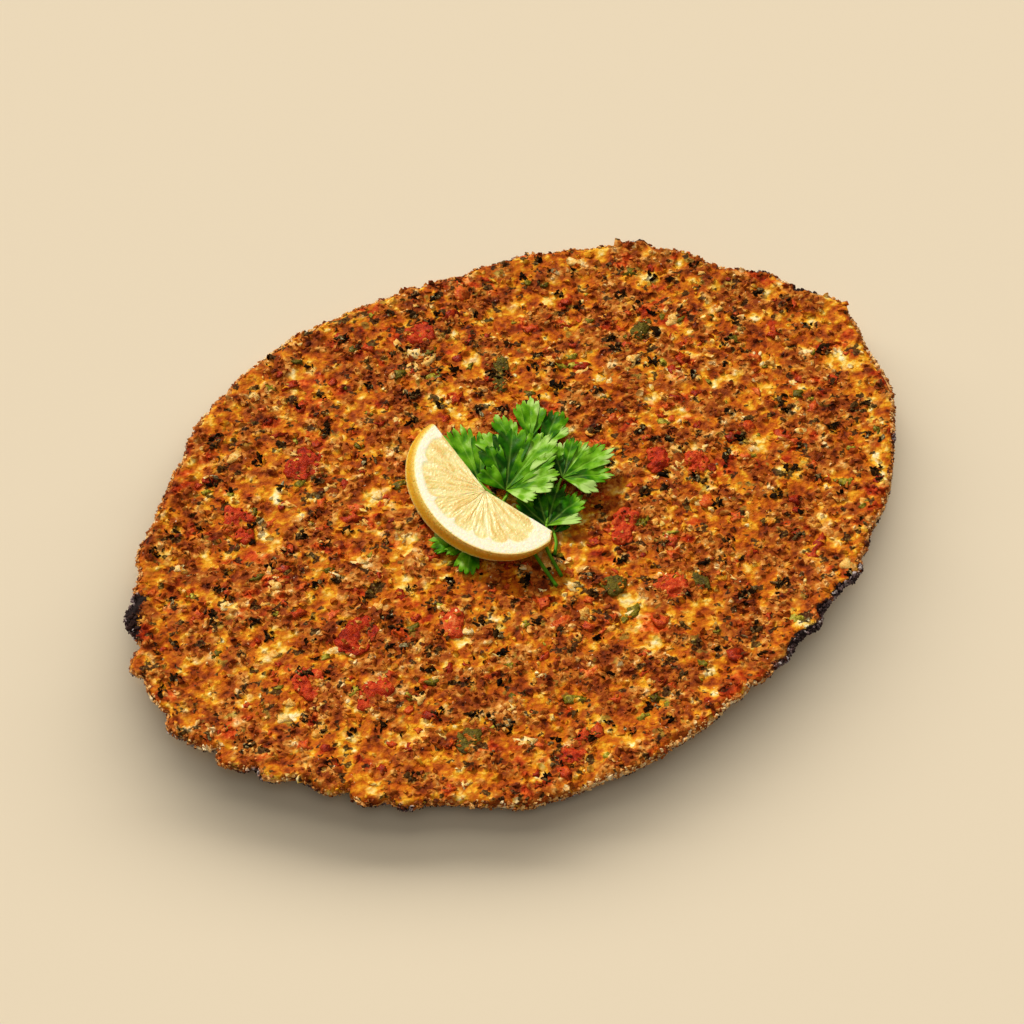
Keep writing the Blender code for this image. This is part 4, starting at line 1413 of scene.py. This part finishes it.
def add_leaves(name, leaves, node):
    """All the leaves of one sprig as one piece."""
    solids = []
    for base, rise, droop, lobes in leaves:
        for number, lobe in enumerate(lobes):
            layered = (base[0], base[1], base[2] + 0.22 * (number % 3))
            solids.append(lobe_solid(layered, rise, droop, 300 + len(solids), *lobe))
    starts = np.cumsum([0] + [len(solid[0]) for solid in solids[:-1]])
    faces = np.concatenate([solid[1] + start for solid, start in zip(solids, starts)])
    points, veins, tones, edges = (np.concatenate([solid[i] for solid in solids]) for i in (0, 2, 3, 4))
    piece = add_piece(name, points, faces, leaf_green, "parsley", [node], vein=veins, tone=tones, edge=edges)
    weld_points(piece, 0.003 * MM)
    return piece


# %% [markdown]
# The leaves' green runs from a deep bottle green in the folded, shaded lobes to a pale yellow-green where a
# lobe turns up to the light. Each lobe has its own tone, which paints that light and shade. Veins are paler.

# %% Finish of the parsley
leaf_green, leaf_shader, spot = new_finish("parsley_leaf", Roughness=0.45, Specular_IOR_Level=0.05)
vein, tone, edge = stored(spot, "vein"), stored(spot, "tone"), stored(spot, "edge")
mottled = spot.cloud(1.8 * MM, 4, 0.6)
green = (tone + mottled * 0.5 - 0.34 + edge * 0.1).ramp(
    (0.05, 12, 60, 0), (0.28, 38, 102, 1), (0.5, 80, 144, 4), (0.72, 120, 180, 38), (0.95, 176, 214, 120))
pale_vein = (vein * 0.3).blend(green, paint(160, 206, 80))
feed(leaf_shader, Base_Color=pale_vein, Roughness=0.5 - mottled * 0.2,
     Normal=(mottled * 0.6 - vein * 0.6).bump(0.25 * MM))
print("parsley green at mid tone:", [round(value, 2) for value in paint(80, 144, 4)[:3]])


# %% [markdown]
# Each leaf is given by its base and how far it rises and droops, in millimetres, and each of its lobes by
# heading and half-width in degrees, length in millimetres, number of teeth, and tone from dark to pale, which
# paints the lobe's light and shade.

# %% Lay the leaves
LEAF_A = ((-8.8, 14.0, 6.5), 1.6, 0.6, [(79, 15, 26.3, 5, 0.54), (57, 12, 21.4, 3, 0.48)])
LEAF_B = ((-4.8, 4.2, 10.2), 6.0, 2.0, [
    (1, 12, 21.5, 3, 0.55), (112, 34, 10.5, 5, 0.24), (-66, 20, 12.8, 5, 0.84), (76, 20, 18.0, 3, 0.2),
    (-38, 14, 16.8, 3, 0.74), (20, 18, 27.3, 5, 0.66), (-19, 15, 19.6, 3, 0.68), (50, 22, 24.2, 5, 0.15)])
LEAF_C = ((5.0, 8.5, 7.8), 0.6, 0.4, [(8, 18, 17.0, 5, 0.2), (40, 20, 19.0, 5, 0.34), (75, 20, 18.0, 5, 0.3)])
LEAFLETS = [
    ((2.0, 18.6, 7.6), 1.0, 0.4, [(86, 32, 11.8, 5, 0.76)]),
    ((9.0, 19.0, 7.9), 1.2, 0.4, [(64, 16, 12.0, 3, 0.6), (84, 17, 15.2, 3, 0.5)]),
    ((17.0, 13.6, 8.3), 1.0, 0.4, [(9, 16, 12.5, 3, 0.66), (36, 22, 17.3, 5, 0.4)]),
    ((15.2, 18.4, 8.6), 1.6, 0.4, [(40, 15, 15.0, 3, 0.5), (72, 15, 16.2, 3, 0.54), (56, 15, 18.3, 3, 0.58)])]
LEAF_D = ((14.2, -2.9, 11.0), 2.6, 1.8, [
    (70, 22, 10.0, 3, 0.12), (43, 11, 18.2, 3, 0.3), (-62, 17, 13.6, 3, 0.82), (25, 12, 17.4, 3, 0.5),
    (-31, 17, 17.8, 5, 0.48), (0, 18, 21.3, 5, 0.7)])
LEAF_D_BEHIND = ((17.4, 2.0, 9.3), 0.9, 0.3, [(60, 26, 11.0, 5, 0.74)])
LEAF_E = ((-0.6, -14.9, 8.0), 2.0, 1.0, [
    (100, 18, 14.6, 3, 0.1), (70, 18, 15.2, 5, 0.08), (-21, 14, 12.6, 3, 0.94), (42, 16, 19.0, 5, 0.2),
    (10, 19, 18.0, 5, 0.34)])
LEAF_G = ((0.7, -17.5, 6.0), 0.2, 0.2, [(78, 16, 13.0, 3, 0.1), (8, 26, 6.5, 3, 0.14), (100, 14, 13.0, 3, 0.12)])
LEAF_F = ((-24.0, -4.4, 6.1), 0.4, 0.2, [(157, 22, 15.5, 5, 0.46), (182, 14, 11.5, 3, 0.4), (-133, 24, 15.2, 5, 0.4)])
add_leaves("parsley_leaves_1", [LEAF_A, LEAF_C, *LEAFLETS, LEAF_B], "parsley_sprig_1")
add_leaves("parsley_leaves_2", [LEAF_D_BEHIND, LEAF_D, LEAF_E], "parsley_sprig_2")
add_leaves("parsley_leaves_3", [LEAF_G], "parsley_sprig_3")
add_leaves("parsley_leaves_4", [LEAF_F], "parsley_sprig_4")


# %% [markdown]
# A stalk is a smooth tube, thinner towards the leaves and a little grooved. A curve with a round profile would
# make one too, but the points of a plain mesh can carry a number along the stalk, which picks its green.

# %% Shape a stalk
STALK_ROUND = 10


def stalk(route, thick, thin):
    """A tube along a smooth line through the route's points, with its radii in millimetres."""
    route = [Vector(p) for p in route]
    line = []
    for i in range(len(route) - 1):
        before, start, end = route[max(i - 1, 0)], route[i], route[i + 1]
        after = route[min(i + 2, len(route) - 1)]
        line += interpolate_bezier(start, start + (end - before) / 6, end - (after - start) / 6, end, 9)[:-1]
    line.append(route[-1])
    rings = []
    for i, point in enumerate(line):
        ahead = (line[min(i + 1, len(line) - 1)] - line[max(i - 1, 0)]).normalized()
        side = ahead.cross(Vector((0, 0, 1))).normalized()
        up = side.cross(ahead)
        radius = thick + (thin - thick) * i / (len(line) - 1)
        for step in range(STALK_ROUND):
            angle = TURN * step / STALK_ROUND
            groove = 1 - 0.12 * (step % 2)
            rings.append((point + (side * math.cos(angle) + up * math.sin(angle)) * radius * groove) * MM)
    count = len(line)
    faces = []
    for i in range(count - 1):
        for step in range(STALK_ROUND):
            low, high = i * STALK_ROUND, (i + 1) * STALK_ROUND
            after = (step + 1) % STALK_ROUND
            faces.append((low + step, low + after, high + after, high + step))
    faces.append(tuple(reversed(range(STALK_ROUND))))
    faces.append(tuple(range((count - 1) * STALK_ROUND, count * STALK_ROUND)))
    shade = np.repeat(np.linspace(0, 1, count), STALK_ROUND)
    return rings, faces, shade


print("a short stalk has", len(stalk([(0, 0, 0), (10, 0, 0)], 1, 1)[0]), "points")


# %% [markdown]
# The stalks follow the same routes as those of the solids, from the cut ends to the forks and the leaves.

# %% Lay the stalks
STALK_THICK, STALK_THIN = 0.72, 0.42
stalk_green, stalk_shader, spot = new_finish("parsley_stalk", Roughness=0.45, Specular_IOR_Level=0.1)
along = stored(spot, "along")
feed(stalk_shader, Base_Color=(along * 0.8 + spot.cloud(1.5 * MM, 3, 0.6) * 0.5 - 0.2).ramp(
    (0.0, 58, 112, 8), (0.3, 98, 160, 22), (0.7, 128, 188, 44), (1.0, 72, 134, 16)))
FORK = (-8.3, 0.7, 9.5)
LOW_FORK = (-0.3, -14.3, 8.0)
STALKS = (
    [(-11, -36.1, 6.1), (-9.8, -21.3, 6.1), (-8, -10.3, 6.2), (-7.6, -3.3, 7.4), FORK, (-5.8, 2, 10.2)],
    [FORK, (-8.9, 7, 8.2), (-9, 13.3, 6.6), (-8.2, 17, 6.5)],
    [FORK, (-4, 4, 8.6), (1.2, 7.7, 8), (3.5, 10.5, 8.1)],
    [(-7.3, -33.7, 6.1), (-5.3, -22.3, 6.1), (-3.3, -18.3, 6.5), LOW_FORK, (1.6, -12.4, 8.3)],
    [LOW_FORK, (2.4, -12.4, 7.2), (6, -9.3, 7.2), (11.4, -4.2, 9.4), (13.8, -2.7, 10.9)],
    [(-4.4, -25.2, 6.1), (-1.2, -21.5, 6.1), (0.7, -17.3, 6.1), (0.9, -15.6, 6.05)],
    [(-15.5, -9.5, 6.1), (-20, -6.5, 6.1), (-23.8, -4.3, 6.1), (-25.4, -4.6, 6.1)],
)
points, faces, shades = [], [], []
for route in STALKS:
    tube_points, tube_faces, shade = stalk(route, STALK_THICK, STALK_THIN)
    faces += [tuple(index + len(points) for index in face) for face in tube_faces]
    points += tube_points
    shades.append(shade)
add_piece("parsley_stalks", points, faces, stalk_green, "parsley", along=np.concatenate(shades))


# %% [markdown]
# ## Camera, floor and light
#
# The camera looks down at the bread from 55 degrees. It stands three bread lengths away and has a long lens,
# so that the far side doesn't shrink much.

# %% Camera
CAMERA_TURN = math.radians(-33.884)
CAMERA_HEIGHT = math.radians(55)
CAMERA_DISTANCE = 889 * MM
CAMERA_LENS = 90
AIM = Vector((-5.65, -0.965, 4.0)) * MM


def direction_of(turn, height):
    """The direction towards something at this turn and height."""
    return Vector((math.sin(turn) * math.cos(height), -math.cos(turn) * math.cos(height), math.sin(height)))


camera_data = bpy.data.cameras.new("camera")
camera_data.lens = CAMERA_LENS
camera_data.sensor_width = 36
camera_data.clip_start = 0.01
camera = in_scene("camera", camera_data)
back = direction_of(CAMERA_TURN, CAMERA_HEIGHT)
camera.location = AIM + back * CAMERA_DISTANCE
camera.rotation_euler = back.to_track_quat("Z", "Y").to_euler()
bpy.context.scene.camera = camera
bpy.context.scene.view_settings.view_transform = "Standard"
print("camera at", [round(v, 3) for v in camera.location])


# %% [markdown]
# The floor is plain and pale. Its colour is divided by the warm tint of the light, so that it looks as named.
# A faint sky of the same tint fills the shadows.

# %% Floor and sky
FLOOR_HALF = 4
SKY = 0.24
WARM = (1.0, 0.93, 0.80)
floor_finish, floor_shader, spot = new_finish("pale_floor", Roughness=0.9, Specular_IOR_Level=0.0)
seen_floor = paint(234, 215, 183)
floor_shader.inputs["Base Color"].default_value = (*[seen_floor[i] / WARM[i] for i in range(3)], 1.0)
floor_mesh = bpy.data.meshes.new("floor")
floor_corners = [(x * FLOOR_HALF, y * FLOOR_HALF, 0) for x, y in ((-1, -1), (1, -1), (1, 1), (-1, 1))]
floor_mesh.from_pydata(floor_corners, [], [(0, 1, 2, 3)])
floor_mesh.materials.append(floor_finish)
floor = in_scene("floor", floor_mesh)
floor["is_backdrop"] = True

world = bpy.data.worlds.new("sky")
world.use_nodes = True
world.node_tree.nodes["Background"].inputs["Color"].default_value = (*WARM, 1)
world.node_tree.nodes["Background"].inputs["Strength"].default_value = SKY
bpy.context.scene.world = world
print("floor", 2 * FLOOR_HALF, "m wide, sky", SKY)


# %% [markdown]
# Two suns behind the bread, a sharp one and a very soft one, light only the food. Two broad panels far away
# light only the floor. They stand low, so that the thin bread still throws a wide shadow that fades softly
# towards the camera. Each lamp is given the share of full light that a level surface gets from it.

# %% Suns for the food and panels for the floor
food_group = bpy.data.collections.new("lit_food")
floor_group = bpy.data.collections.new("lit_floor")
floor_group.objects.link(floor)
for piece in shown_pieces():
    food_group.objects.link(piece)
PANEL_AWAY = 60.0


def hang(data, towards, lights_only):
    """Adds a lamp that shines from this direction on the collection's objects only."""
    data.color = WARM
    lamp = in_scene(data.name, data)
    lamp.rotation_euler = towards.to_track_quat("Z", "Y").to_euler()
    lamp.light_linking.receiver_collection = lights_only
    return lamp


def sun(name, turn, height, share, softness):
    """A sun for the food. turn, height and softness, its width in the sky, are in degrees."""
    data = bpy.data.lights.new(name, "SUN")
    data.angle = math.radians(softness)
    data.energy = math.pi * share / math.sin(math.radians(height))
    hang(data, direction_of(math.radians(turn), math.radians(height)), food_group)


def far_panel(name, turn, height, wide, tall, share):
    """A distant oval of light for the floor. wide and tall are its half-sizes as a share of its distance. Its
    power is found by adding up what reaches the floor from a grid of patches."""
    towards = direction_of(math.radians(turn), math.radians(height))
    side = Vector((-towards.y, towards.x, 0)).normalized()
    up = towards.cross(side)
    steps = [(i / 20, j / 20) for i in range(-20, 21) for j in range(-20, 21) if i * i + j * j <= 400]
    patches = [towards + side * (wide * a) + up * (tall * b) for a, b in steps]
    gathered = sum(patch.normalized().z / patch.length**3 for patch in patches) / len(patches)
    data = bpy.data.lights.new(name, "AREA")
    data.shape = "ELLIPSE"
    data.size, data.size_y = 2 * wide * PANEL_AWAY, 2 * tall * PANEL_AWAY
    data.energy = (math.pi * PANEL_AWAY) ** 2 * share / gathered
    hang(data, towards, floor_group).location = towards * PANEL_AWAY


BEHIND = -33.9 + 180
ASIDE = BEHIND + 35
sun("food_sun", ASIDE, height=42, share=0.62, softness=6)
sun("food_fill", ASIDE, height=72, share=0.22, softness=110)
far_panel("floor_panel_low", BEHIND, height=10.9, wide=1.9, tall=0.088, share=0.58)
far_panel("floor_panel_high", BEHIND, height=24, wide=1.5, tall=0.2, share=0.19)
